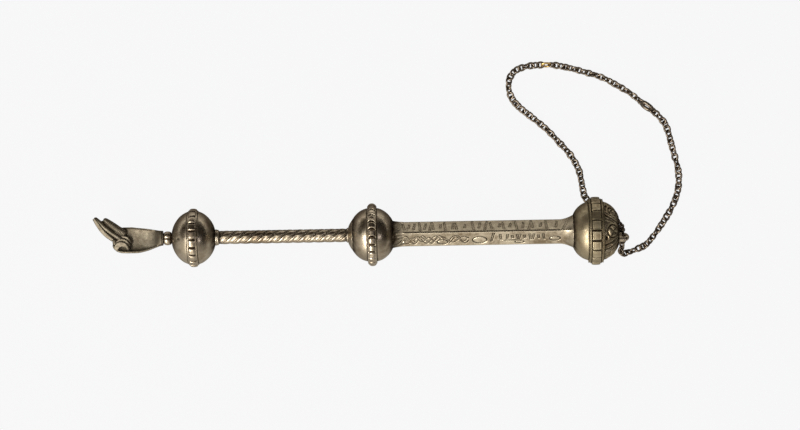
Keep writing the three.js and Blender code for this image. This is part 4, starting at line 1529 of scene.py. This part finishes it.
    def pressed(self, along: np.ndarray, radius: np.ndarray, angle: np.ndarray) -> tuple:
        """The square section with its cuts, blended to round at both ends.

        Args:
            along: Places along the shaft.
            radius: The round bar's radii.
            angle: Its angles.

        Returns:
            The new places along, radii and angles.
        """
        quarter = np.mod((angle / FULL_TURN) * 4, 4.0)
        face = np.floor(quarter).astype(int)
        half = self.side / 2
        across = (quarter - face) * self.side - half
        over = np.clip(np.abs(across) - (half - self.edge_rounding), 0, None) * 0.8
        out = half - self.edge_rounding + np.sqrt(np.clip(self.edge_rounding**2 - over**2, 0, None))
        cut = self.engraved(along, across, face)
        out = out - self.cut_depth * cut + self.lumps(along, across + face * self.side)
        facing = (face + 0.5) * (math.pi / 2) - math.radians(self.lean)
        y = -out * np.sin(facing) - across * np.cos(facing)
        z = out * np.cos(facing) - across * np.sin(facing)
        square_radius, square_angle = np.hypot(y, z), np.arctan2(-y, z)
        length = self.layout.shaft_length
        foot = np.clip(1 - along / self.foot_length, 0, 1)
        flare = np.clip(1 - (length - along) / self.flare_length, 0, 1)
        roundness = np.maximum(foot**self.foot_rounding, flare**self.flare_rounding)
        round_radius = np.where(along < length / 2, self.foot_radius, self.flare_radius)
        full = square_radius + (round_radius - square_radius) * roundness
        return along, np.where(radius < NEAR_AXIS, radius, full), square_angle


# Pointing hand


@dataclass
class Hand:
    """The small cast hand: hollow palm, three curled fingers, thumb and pointing finger."""

    length: float = 31.2
    width: float = 11.8
    thickness: float = 6.4
    rim: float = 0.75
    voxel: float = 0.13
    under_share: float = 0.55
    hollow_fullness: float = 0.45
    cuff_groove: Place = (0.75, 0.2, 0.16)
    sections: Sequence[tuple[float, ...]] = (
        (0.00, -0.27, 0.29, 0.44, -0.42), (0.05, -0.29, 0.30, 0.44, -0.30),
        (0.12, -0.36, 0.33, 0.47, 0.0), (0.24, -0.47, 0.38, 0.52, 0.22), (0.36, -0.53, 0.42, 0.55, 0.28),
        (0.50, -0.535, 0.45, 0.55, 0.30), (0.62, -0.52, 0.42, 0.50, 0.26),
        (0.68, -0.45, 0.34, 0.42, 0.16), (0.71, -0.36, 0.22, 0.30, 0.10),
    )
    curl: Sequence[Place] = (
        (-20.7, -4.8, -0.4), (-20.7, -3.3, 0.4), (-19.6, -2.45, 0.8), (-18.0, -2.25, 0.9),
        (-16.7, -2.75, 0.8), (-15.9, -3.9, 0.5), (-15.8, -4.9, -0.3),
    )
    curled_fingers: int = 3
    knuckle: int = 3
    knuckle_height: float = 0.55
    curl_radii: Sequence[float] = (1.15, 1.2, 1.22, 1.15, 1.0, 0.85, 0.8)
    curl_step: Place = (0.45, 1.35, -0.5)
    lower_finger: Sequence[Place] = (
        (-30.7, 9.4, 1.0), (-29.3, 7.0, 1.1), (-27.3, 4.1, 1.1), (-25.1, 1.8, 1.0), (-22.3, -0.2, 0.9),
    )
    lower_radii: Sequence[float] = (0.8, 0.95, 1.0, 1.02, 1.0)
    lower_flat: Place = (-27.3, 4.1, 1.65)
    upper_finger: Sequence[Place] = (
        (-30.6, 9.8, 0.7), (-28.2, 7.5, 0.7), (-25.9, 5.2, 0.6), (-23.4, 3.1, 0.5), (-20.4, 1.1, 0.1),
        (-17.5, -0.4, -1.2),
    )
    upper_radii: Sequence[float] = (0.85, 1.0, 1.05, 1.05, 1.1, 1.1)
    thumb: Sequence[Place] = (
        (-26.5, 9.2, 0.3), (-24.3, 7.5, 0.4), (-21.6, 5.4, 0.2), (-19.2, 3.7, -0.3), (-16.5, 2.2, -1.2),
    )
    webs: Sequence[tuple[Place, Place, float]] = (
        ((-29.6, 8.3, -0.1), (-21.0, 0.5, -0.2), 1.0), ((-25.6, 7.2, -0.5), (-19.0, 1.8, -1.0), 1.1),
        ((-22.0, 4.0, -0.6), (-17.0, -1.0, -1.4), 1.5), ((-27.7, 8.2, -0.5), (-23.6, 5.2, -0.6), 0.95),
    )
    edge: Sequence[Place] = (
        (-0.5, -2.8, 0.2), (-4.0, -3.9, 0.4), (-7.6, -5.1, 0.5), (-11.2, -5.8, 0.55),
        (-14.8, -5.85, 0.55), (-18.3, -5.7, 0.4), (-20.3, -5.2, 0.3), (-21.8, -4.1, 0.2),
        (-22.5, -2.4, 0.0),
    )
    edge_radii: Sequence[float] = (0.35, 0.5, 0.55, 0.55, 0.5, 0.45)
    heel: Sequence[Place] = ((-22.1, 0.2, -0.7), (-21.7, -2.3, -0.8), (-20.9, -4.2, -0.8))
    heel_radii: Sequence[float] = (0.8, 1.0, 0.9)
    ridges: int = 40
    lit_slope: Span = (0.14, 0.12)

    def palm(self) -> bpy.types.Object:
        """The hollow palm, from the round cuff to the roots of the fingers."""
        last = self.sections[-1][0]
        line = bar("palm", -last * self.length, 9, 9, 120)
        places = corners(line)
        angle = np.mod(np.arctan2(-places[:, 1], places[:, 2]), FULL_TURN) / FULL_TURN
        share = -places[:, 0] / self.length
        marks = [section[0] for section in self.sections]
        low, high, depth, hollow = (
            smooth_values(share, marks, [section[i] for section in self.sections]) for i in range(1, 5))
        centre, half = (low + high) / 2 * self.width, (high - low) / 2 * self.width
        split = self.under_share
        under = angle < split
        t = np.where(under, angle / split, (angle - split) / (1 - split)) * math.pi
        groove_at, groove_width, groove_depth = self.cuff_groove
        groove = 1 - groove_depth * np.exp(-(((places[:, 0] + groove_at) / groove_width) ** 2))
        across = np.where(under, -half * np.cos(t), (half - self.rim * 0.5) * np.cos(t))
        up = -self.thickness * np.where(under, depth * np.sin(t) * groove,
                                        hollow * np.abs(np.sin(t)) ** self.hollow_fullness)
        set_corners(line, np.column_stack((places[:, 0], centre + across, up + np.where(under, 0.0, 0.05))))
        close_seams(line)
        return line

    def flattened(self, piece: bpy.types.Object, top: Place) -> bpy.types.Object:
        """Files the top of a finger flat, on a slope that faces the lower left.

        Args:
            piece: The finger.
            top: A place on the flat.

        Returns:
            The same finger.
        """
        places = corners(piece)
        slope_x, slope_y = self.lit_slope
        plane = top[2] + slope_x * (places[:, 0] - top[0]) + slope_y * (places[:, 1] - top[1])
        places[:, 2] = np.minimum(places[:, 2], plane)
        set_corners(piece, places)
        return piece

    def model(self) -> bpy.types.Object:
        """The whole hand, cast as one."""
        parts = [self.palm()]
        for finger in range(self.curled_fingers):
            shift = [finger * step for step in self.curl_step]
            places = [tuple(a + b for a, b in zip(place, shift)) for place in self.curl]
            curl = rod("curl", places, self.curl_radii, steps=40, sides=5)
            x, y, z = places[self.knuckle]
            parts.append(self.flattened(curl, (x, y, z + self.knuckle_height)))
        low = rod("finger_low", self.lower_finger, self.lower_radii, steps=40, sides=5, round_ends=False)
        parts.append(self.flattened(low, self.lower_flat))
        parts.append(rod("finger_up", self.upper_finger, self.upper_radii, steps=40, sides=5))
        ridged = [(0.65 + math.sin(math.pi * (0.1 + 0.6 * i / self.ridges))) * (1 + 0.06 * (-1) ** i)
                  for i in range(self.ridges + 1)]
        parts.append(rod("thumb", self.thumb, ridged, steps=3 * self.ridges, sides=5))
        for start, end, thickness in self.webs:
            parts.append(rod("web", [start, end], [thickness] * 3, steps=12, sides=4))
        parts.append(rod("heel", self.heel, self.heel_radii, steps=24, sides=4))
        parts.append(rod("edge", self.edge, self.edge_radii, steps=60, sides=4))
        hand = joined("pointing_hand", parts)
        modify(hand, "REMESH", mode="VOXEL", voxel_size=self.voxel, adaptivity=0.0)
        modify(hand, "SMOOTH", factor=0.5, iterations=2)
        uneven(hand, 2.6, 0.12)
        return hand


# Chain


@dataclass
class Chain:
    """The chain of small oval links, its rings, its repair link and the lug that it hangs on."""

    layout: Layout
    link_length: float = 4.0
    link_width: float = 3.4
    link_wire: float = 1.0
    roll: float = 56.0
    roll_spread: float = 0.85
    yaw_spread: float = 0.2
    shift_spread: float = 0.22
    pitch: float = 2.15
    lift: float = 0.1
    lug_wire: float = 2.3
    lug_span: float = 3.7
    lug_straight: float = 1.7
    lug_offset: float = 3.0
    lug_lean: float = 30.0
    lug_foot: float = 0.6
    ring_diameter: float = 6.2
    ring_wire: float = 1.0
    ring_hang: Place = (0.0, -0.35, -0.94)
    near_side: Place = (0.0, 0.72, -0.69)
    far_side: Place = (0.0, -0.8, -0.6)
    brass_length: float = 5.0
    brass_width: float = 3.4
    brass_wire: float = 1.0
    brass_place: Span = (-20.0, 75.2)
    joining_length: float = 7.0
    joining_width: float = 4.9
    joining_wire: float = 1.7
    joining_roll: float = 58.0
    joining_place: Span = (25.1, 55.7)
    joining_heading: Place = (0.8, -0.6, 0.0)
    rng: np.random.Generator = field(default_factory=lambda: np.random.default_rng(7))
    near_course: Sequence[Place] = (
        (12.1, 0.5, 8.2), (12.0, 1.9, 6.1), (11.1, 3.5, 4.2), (9.5, 5.1, 2.9), (7.4, 6.9, 2.0),
        (5.0, 8.7, 1.45),
    )
    near_floor: Sequence[Span] = (
        (2.4, 10.7), (-1.0, 12.8), (-3.5, 15.2), (-4.6, 20.0), (-6.0, 27.2), (-9.6, 34.1), (-15.2, 40.6),
        (-20.6, 46.4), (-26.9, 51.7), (-32.4, 56.3), (-35.4, 59.9), (-36.9, 64.0), (-36.7, 68.8),
        (-34.4, 72.4), (-30.6, 74.2), (-26.2, 75.0),
    )
    middle_floor: Sequence[Span] = (
        (-14.0, 74.6), (-8.0, 73.2), (-1.2, 71.2), (5.5, 68.9), (11.5, 65.6), (17.5, 61.9),
    )
    far_floor: Sequence[Span] = (
        (30.4, 51.2), (33.4, 47.2), (34.9, 42.6), (36.0, 38.0), (37.5, 32.2), (38.9, 25.5), (38.6, 18.3),
        (36.2, 11.1), (32.0, 4.0), (27.5, -2.3), (23.6, -6.7),
    )
    far_course: Sequence[Place] = (
        (19.6, -8.6, 1.65), (15.8, -9.9, 2.45), (13.1, -10.6, 3.7), (12.0, -10.2, 5.4),
        (12.0, -8.6, 7.2),
    )

    @property
    def origin(self) -> Vector:
        """The floor's place right under the end knop's middle, in millimetres."""
        return Vector((self.layout.end_knop_at * math.cos(self.layout.tilt), 0, 0))

    def lug_place(self, along: float, across: float) -> Place:
        """A place on the lug, from the end face's middle."""
        lean = math.radians(self.lug_lean)
        return (along, -self.lug_offset - math.sin(lean) * across, math.cos(lean) * across)

    def lug(self) -> bpy.types.Object:
        """A thick rod bent into a loop, its feet on the end face."""
        bend = self.lug_span / 2
        loop = [(self.lug_straight + bend * math.cos(angle), bend * math.sin(angle))
                for angle in np.linspace(math.pi / 2, -math.pi / 2, 9)]
        line = [(SEAM, bend), (self.lug_foot, bend), *loop, (self.lug_foot, -bend), (SEAM, -bend)]
        places = [self.lug_place(along, across) for along, across in line]
        return rod("chain_lug", places, [self.lug_wire / 2] * 3, steps=64, sides=6, round_ends=False)

    def oval(self, name: str, length: float, width: float, wire: float, steps: int,
             sides: int) -> bpy.types.Object:
        """A ring of round wire, drawn out to an oval.

        Args:
            name: Its name.
            length: Its outer length along x.
            width: Its outer width along y.
            wire: The wire's thickness.
            steps: Steps round the oval.
            sides: Sides of the wire.

        Returns:
            The ring, lying flat round the origin.
        """
        turn_share = 0.18
        deselect()
        bpy.ops.mesh.primitive_torus_add(
            major_segments=steps, minor_segments=sides,
            major_radius=(width - wire) / 2, minor_radius=wire / 2)
        ring = named(name)
        places = corners(ring)
        stretch = (length - width) / 2
        places[:, 0] += np.tanh(places[:, 0] / (width * turn_share)) * stretch
        set_corners(ring, places)
        return ring

    @staticmethod
    def threaded(centre: Vector, along: Vector, roll: float) -> Matrix:
        """Where a ring or link goes.

        Args:
            centre: Its middle.
            along: The chain's heading there.
            roll: How far it is turned about that heading, in radians.

        Returns:
            The placing, in millimetres.
        """
        heading = along.normalized()
        side = Vector((0, 0, 1)).cross(heading).normalized()
        over = heading.cross(side)
        flat = side * math.cos(roll) + over * math.sin(roll)
        placing = Matrix((heading, flat, heading.cross(flat))).transposed().to_4x4()
        placing.translation = centre
        return placing

    def stretch(self, name: str, places: Sequence[Vector], link: bpy.types.Object) -> bpy.types.Object:
        """One stretch of links along its course.

        Args:
            name: The stretch's name.
            places: The course's places in millimetres.
            link: The model of one link.

        Returns:
            All its links as one object.
        """
        fine = smooth_course([tuple(place) for place in places], 1200)
        run = run_along(fine)
        look_ahead = 0.8
        inset = self.link_length / 2 - self.link_wire - 0.35
        count = round((run[-1] - 2 * inset) / self.pitch)
        links = []
        for i, at in enumerate(np.linspace(inset, run[-1] - inset, count + 1)):
            at += self.rng.uniform(-self.shift_spread, self.shift_spread)
            centre, ahead, behind = (
                Vector([np.interp(place, run, fine[:, axis]) for axis in range(3)])
                for place in (at, at + look_ahead, at - look_ahead))
            yaw = Matrix.Rotation(self.rng.uniform(-self.yaw_spread, self.yaw_spread), 3, "Z")
            roll = (math.radians(self.roll) - self.rng.uniform(0.0, self.roll_spread)) * (1 if i % 2 else -1)
            links.append(copied(link, self.threaded(centre, yaw @ (ahead - behind), roll)))
        return joined(name, links)

    def flat(self, places: Sequence[Span]) -> list[Vector]:
        """Places of links that lie on the floor."""
        return [self.lying(place, self.link_width, self.link_wire, self.roll, self.lift) for place in places]

    def raised(self, places: Sequence[Place]) -> list[Vector]:
        """Places of links that hang or climb."""
        return [Vector(place) + self.origin for place in places]

    def lying(self, place: Span, width: float, wire: float, roll: float, lift: float) -> Vector:
        """The middle of a ring or link that lies on the floor, turned about its heading.

        Args:
            place: Its place on the floor, from the end knop.
            width: Its outer width.
            wire: Its wire's thickness.
            roll: How far it is turned, in degrees.
            lift: How far it is held up.

        Returns:
            Its middle in millimetres.
        """
        height = (width - wire) / 2 * math.sin(math.radians(roll)) + wire / 2 + lift
        return self.origin + Vector((*place, height))

    def hang_ring(self, workshop: Workshop) -> Sequence[Vector]:
        """Hands over the lug and its ring.

        Args:
            workshop: Dresses the pieces.

        Returns:
            The ring's two places that the chain's ends hang on, the near one first.
        """
        pointer = self.layout.placing(self.layout.end_face)
        workshop.hand_over(self.lug(), pointer, SILVER, ["chain_lug"], LUG_WEAR)
        hang = Vector(self.ring_hang).normalized()
        radius = (self.ring_diameter - self.ring_wire) / 2
        drop = radius - self.ring_wire / 2 - self.lug_wire / 2 - 2 * SEAM
        rod_place = Vector(self.lug_place(self.link_width / 2 + 0.3, -self.lug_span / 2))
        centre = (pointer @ rod_place) / MM + hang * drop
        ring = self.oval("lug_ring", self.ring_diameter, self.ring_diameter, self.ring_wire, 40, 12)
        ring.data.transform(self.threaded(centre, hang, math.pi / 2))
        workshop.hand_over(ring, METRES, CHAIN_SILVER, ["lug_ring"], RING_WEAR)
        return [centre + Vector(side).normalized() * radius for side in (self.near_side, self.far_side)]

    def model(self, workshop: Workshop) -> None:
        """Models and hands over the lug, the rings and the three stretches.

        Args:
            workshop: Dresses the pieces.
        """
        near, far = self.hang_ring(workshop)

        brass_at = self.lying(self.brass_place, self.brass_width, self.brass_wire, self.roll, self.lift)
        brass_reach = Vector(((self.brass_length - self.brass_wire) / 2, 0, 0))
        brass = self.oval("brass_link", self.brass_length, self.brass_width, self.brass_wire, 32, 10)
        brass.data.transform(self.threaded(brass_at, brass_reach, math.radians(self.roll)))
        workshop.hand_over(brass, METRES, LINK_BRASS, ["brass_link"], RING_WEAR)

        joining_at = self.lying(self.joining_place, self.joining_width, self.joining_wire, self.joining_roll,
                                SEAM)
        heading = Vector(self.joining_heading)
        joining_reach = heading * ((self.joining_length - self.joining_wire) / 2)
        joining = self.oval("joining_ring", self.joining_length, self.joining_width, self.joining_wire,
                            40, 10)
        joining.data.transform(self.threaded(joining_at, heading, math.radians(self.joining_roll)))
        workshop.hand_over(joining, METRES, CHAIN_SILVER, ["joining_ring"], RING_WEAR)

        link = self.oval("link", self.link_length, self.link_width, self.link_wire, 14, 6)
        stretches = (
            ("near_chain", [near, *self.raised(self.near_course), *self.flat(self.near_floor),
                            brass_at - brass_reach]),
            ("middle_chain", [brass_at + brass_reach, *self.flat(self.middle_floor),
                              joining_at - joining_reach]),
            ("far_chain", [joining_at + joining_reach, *self.flat(self.far_floor),
                           *self.raised(self.far_course), far]),
        )
        for name, places in stretches:
            chain = self.stretch(name, places, link)
            nodes = [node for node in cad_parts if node.startswith(f"{name}_")]
            workshop.hand_over(chain, METRES, CHAIN_SILVER, nodes, LINK_WEAR)
        bpy.data.objects.remove(link)


# Studio


@dataclass(frozen=True)
class Studio:
    """A pale floor, soft lights and a camera that looks straight down."""

    camera_place: Place = (0.01254, 0.00861, 1.2636)
    camera_turn: float = -1.0164
    lens: float = 125.84
    sensor: float = 36.0
    seen_floor: Colour = (0.915, 0.915, 0.92, 1.0)
    near_floor: Colour = (0.44, 0.42, 0.38, 1.0)
    shaded_floor: Colour = (0.09, 0.075, 0.06, 1.0)
    far_floor: Colour = (1.0, 0.96, 0.88, 1.0)
    bright_room: Place = (0.66, 0.62, 0.56)
    dark_room: Place = (0.05, 0.037, 0.028)
    near_shade: Span = (-0.025, 0.01)
    far_shade: Span = (0.025, 0.12)
    dark_side: Place = (0.15, 0.80, 0.58)
    dark_side_from: Span = (-0.1, 0.15)
    dark_plane: Place = (0.0, 0.58, -0.80)
    dark_plane_from: Span = (0.62, 0.42)
    front_fall: tuple[Span, Span] = ((-0.6, 0.1), (1.0, 0.7))
    back_rise: tuple[Span, Span] = ((0.78, 1.0), (0.0, 0.9))
    right_from: Span = (-0.2, 0.4)
    right_back: tuple[Span, Span] = ((-0.95, -0.35), (0.45, 1.0))
    right_strength: float = 0.22
    key_place: Place = (-0.60, -0.58, 1.0)
    fill_place: Place = (0.68, -0.16, 1.0)
    front_place: Place = (-0.3, -1.3, 0.45)

    def floor(self) -> None:
        """A wide pale floor, as white as paper where it is seen, and dim where metal mirrors it; in that
        mirrored glow a painted shadow band lies behind the pointer (+Y).
        """
        deselect()
        bpy.ops.mesh.primitive_plane_add(size=6)
        floor = named("floor")
        material = bpy.data.materials.new("pale_floor")
        material.use_nodes = True
        tree = material.node_tree
        nodes = NodeTree(tree)
        shader = tree.nodes["Principled BSDF"]
        shader.inputs["Base Color"].default_value = (0.02, 0.02, 0.02, 1)
        shader.inputs["Roughness"].default_value = 0.9
        shader.inputs["Specular IOR Level"].default_value = 0.0
        place = tree.nodes.new("ShaderNodeTexCoord").outputs["Object"]
        back = nodes.add("ShaderNodeSeparateXYZ", Vector=place).outputs["Y"]
        mirrored = nodes.blend(nodes.clamped(back, self.near_shade), self.near_floor, self.shaded_floor)
        mirrored = nodes.blend(nodes.clamped(back, self.far_shade), mirrored, self.far_floor)
        seen = tree.nodes.new("ShaderNodeLightPath").outputs["Is Camera Ray"]
        nodes.feed(shader.inputs["Emission Color"], nodes.blend(seen, mirrored, self.seen_floor))
        shader.inputs["Emission Strength"].default_value = 1.0
        floor.data.materials.append(material)

    def sky(self) -> None:
        """A bright room with one dark stretch beyond the far edge of the floor, dimmer to the right."""
        world = bpy.data.worlds.new("room")
        bpy.context.scene.world = world
        world.use_nodes = True
        nodes = NodeTree(world.node_tree)
        place = world.node_tree.nodes.new("ShaderNodeTexCoord").outputs["Generated"]
        split = nodes.add("ShaderNodeSeparateXYZ", Vector=place)
        shares = []
        for axis in (self.dark_side, self.dark_plane):
            product = world.node_tree.nodes.new("ShaderNodeVectorMath")
            product.operation = "DOT_PRODUCT"
            nodes.feed(product.inputs[0], place)
            product.inputs[1].default_value = axis
            shares.append(product.outputs["Value"])
        side, plane = shares
        darkness = nodes.math("MULTIPLY", nodes.clamped(side, self.dark_side_from),
                              nodes.clamped(nodes.math("ABSOLUTE", plane), self.dark_plane_from))
        colour = nodes.blend(darkness, (*self.bright_room, 1), (*self.dark_room, 1))
        across, back = split.outputs["X"], split.outputs["Y"]
        strength = nodes.math("ADD", nodes.clamped(back, *self.front_fall),
                              nodes.clamped(back, *self.back_rise))
        right = nodes.math("MULTIPLY", nodes.clamped(across, self.right_from),
                           nodes.clamped(back, *self.right_back))
        dimming = nodes.clamped(right, (0.0, 1.0), (1.0, self.right_strength))
        strength = nodes.math("MULTIPLY", strength, dimming)
        background = world.node_tree.nodes["Background"]
        nodes.feed(background.inputs["Color"], colour)
        nodes.feed(background.inputs["Strength"], strength)

    @staticmethod
    def light(name: str, place: Place, size: Span, watts: float, colour: Place,
              spin: float = 0.0) -> None:
        """One soft box that faces the object.

        Args:
            name: The light's name.
            place: Where it stands, in metres.
            size: Its width and height in metres.
            watts: Its power.
            colour: Its colour.
            spin: How far it is turned about its own axis, in degrees.
        """
        data = bpy.data.lights.new(name, "AREA")
        data.shape = "RECTANGLE"
        data.size, data.size_y = size
        data.energy = watts
        data.color = colour
        lamp = bpy.data.objects.new(name, data)
        lamp.location = place
        facing = Vector(place).to_track_quat("Z", "Y").to_matrix()
        lamp.rotation_euler = (facing @ Matrix.Rotation(math.radians(spin), 3, "Z")).to_euler()
        bpy.context.scene.collection.objects.link(lamp)

    def build(self) -> None:
        """Sets floor, room, lights and camera."""
        self.floor()
        self.sky()
        self.light("key", self.key_place, size=(0.4, 1.15), watts=15.0, colour=(1.0, 0.97, 0.91), spin=57.0)
        self.light("fill", self.fill_place, size=(0.16, 0.4), watts=0.6, colour=(0.96, 0.92, 1.0))
        self.light("front", self.front_place, size=(1.4, 0.5), watts=1.2, colour=(1.0, 0.97, 0.90))
        bpy.context.scene.view_settings.view_transform = "Standard"
        data = bpy.data.cameras.new("camera")
        data.lens = self.lens
        data.sensor_width = self.sensor
        camera = bpy.data.objects.new("camera", data)
        camera.location = self.camera_place
        camera.rotation_euler = (0, 0, math.radians(self.camera_turn))
        bpy.context.scene.collection.objects.link(camera)
        bpy.context.scene.camera = camera


def dress_stem(layout: Layout, workshop: Workshop) -> None:
    """Models and hands over the bead, the twisted stem and the rings at its ends.

    Args:
        layout: The pointer's layout.
        workshop: Dresses the pieces.
    """
    parts = StemParts(layout)
    turned_parts = (
        ("wrist_bead", parts.bead, layout.bead_end - layout.bead_length / 2),
        ("stem_collar", parts.collar, layout.collar_start + layout.collar_length / 2),
        ("stem_ferrule", parts.ferrule, layout.ferrule_end - layout.ferrule_length / 2),
    )
    for node, make, at in turned_parts:
        workshop.hand_over(make(), layout.placing(at), SILVER, [node], TURNED_WEAR)
    # Dirt and painted shade gather at both ends of the stem.
    wear = WearAndPaintedLight(passes=8, depth=0.14, necks=((0.0, 1.2), (layout.stem_length, 1.2)))
    workshop.hand_over(parts.stem(), layout.placing(layout.stem_start), SILVER, ["twisted_stem"], wear)


def dress_knops(layout: Layout, workshop: Workshop) -> None:
    """Models and hands over the three knops and their bands.

    Args:
        layout: The pointer's layout.
        workshop: Dresses the pieces.
    """
    knops = KnopDresser()
    bands = Bands(layout)
    sets = (
        (layout.hand_knop, layout.hand_knop_at, bands.hand_band, SILVER),
        (layout.middle_knop, 0.0, bands.middle_band, SILVER),
        (layout.end_knop, layout.end_knop_at, bands.end_band, GOLDEN_SILVER),
    )
    for knop, at, make_band, finish in sets:
        leafed = knop is layout.end_knop
        ball = knops.body(knop, 3 if leafed else 1)
        if leafed:
            EndCap(knop).carve(ball)
        uneven(ball, knops.swell_grain, knops.swell_height)
        if knop is layout.hand_knop:
            knops.dent(ball)
        beside = knop.band_width / 2 + 0.1
        # Dirt and painted shade gather where the ball meets its neighbours and beside its band.
        necks = ((-knop.left, 1.6), (knop.right, 1.6), (-beside, 0.4), (beside, 0.4))
        wear = WearAndPaintedLight(passes=10 if leafed else 6, depth=0.12, crease=40, necks=necks)
        workshop.hand_over(ball, layout.placing(at), finish, [knop.name], wear)
        band = make_band()
        floor_cut(band, layout, at)
        workshop.hand_over(band, layout.placing(at), finish, [f"{knop.name}_band"], BAND_WEAR)


def main() -> None:
    """Builds all pieces in order from the hand to the chain, then the studio."""
    logging.basicConfig(level=logging.INFO, format="%(message)s")
    layout = Layout()
    workshop = Workshop()
    workshop.hand_over(Hand().model(), layout.placing(layout.hand_start), HAND_SILVER, ["pointing_hand"],
                       HAND_WEAR_AND_SHADE)
    dress_stem(layout, workshop)
    workshop.hand_over(Shaft(layout).model(), layout.placing(layout.shaft_start), SHAFT_SILVER,
                       ["square_shaft"], SHAFT_WEAR_AND_LIGHT)
    dress_knops(layout, workshop)
    Chain(layout).model(workshop)
    Studio().build()


if __name__ == "__main__":
    main()
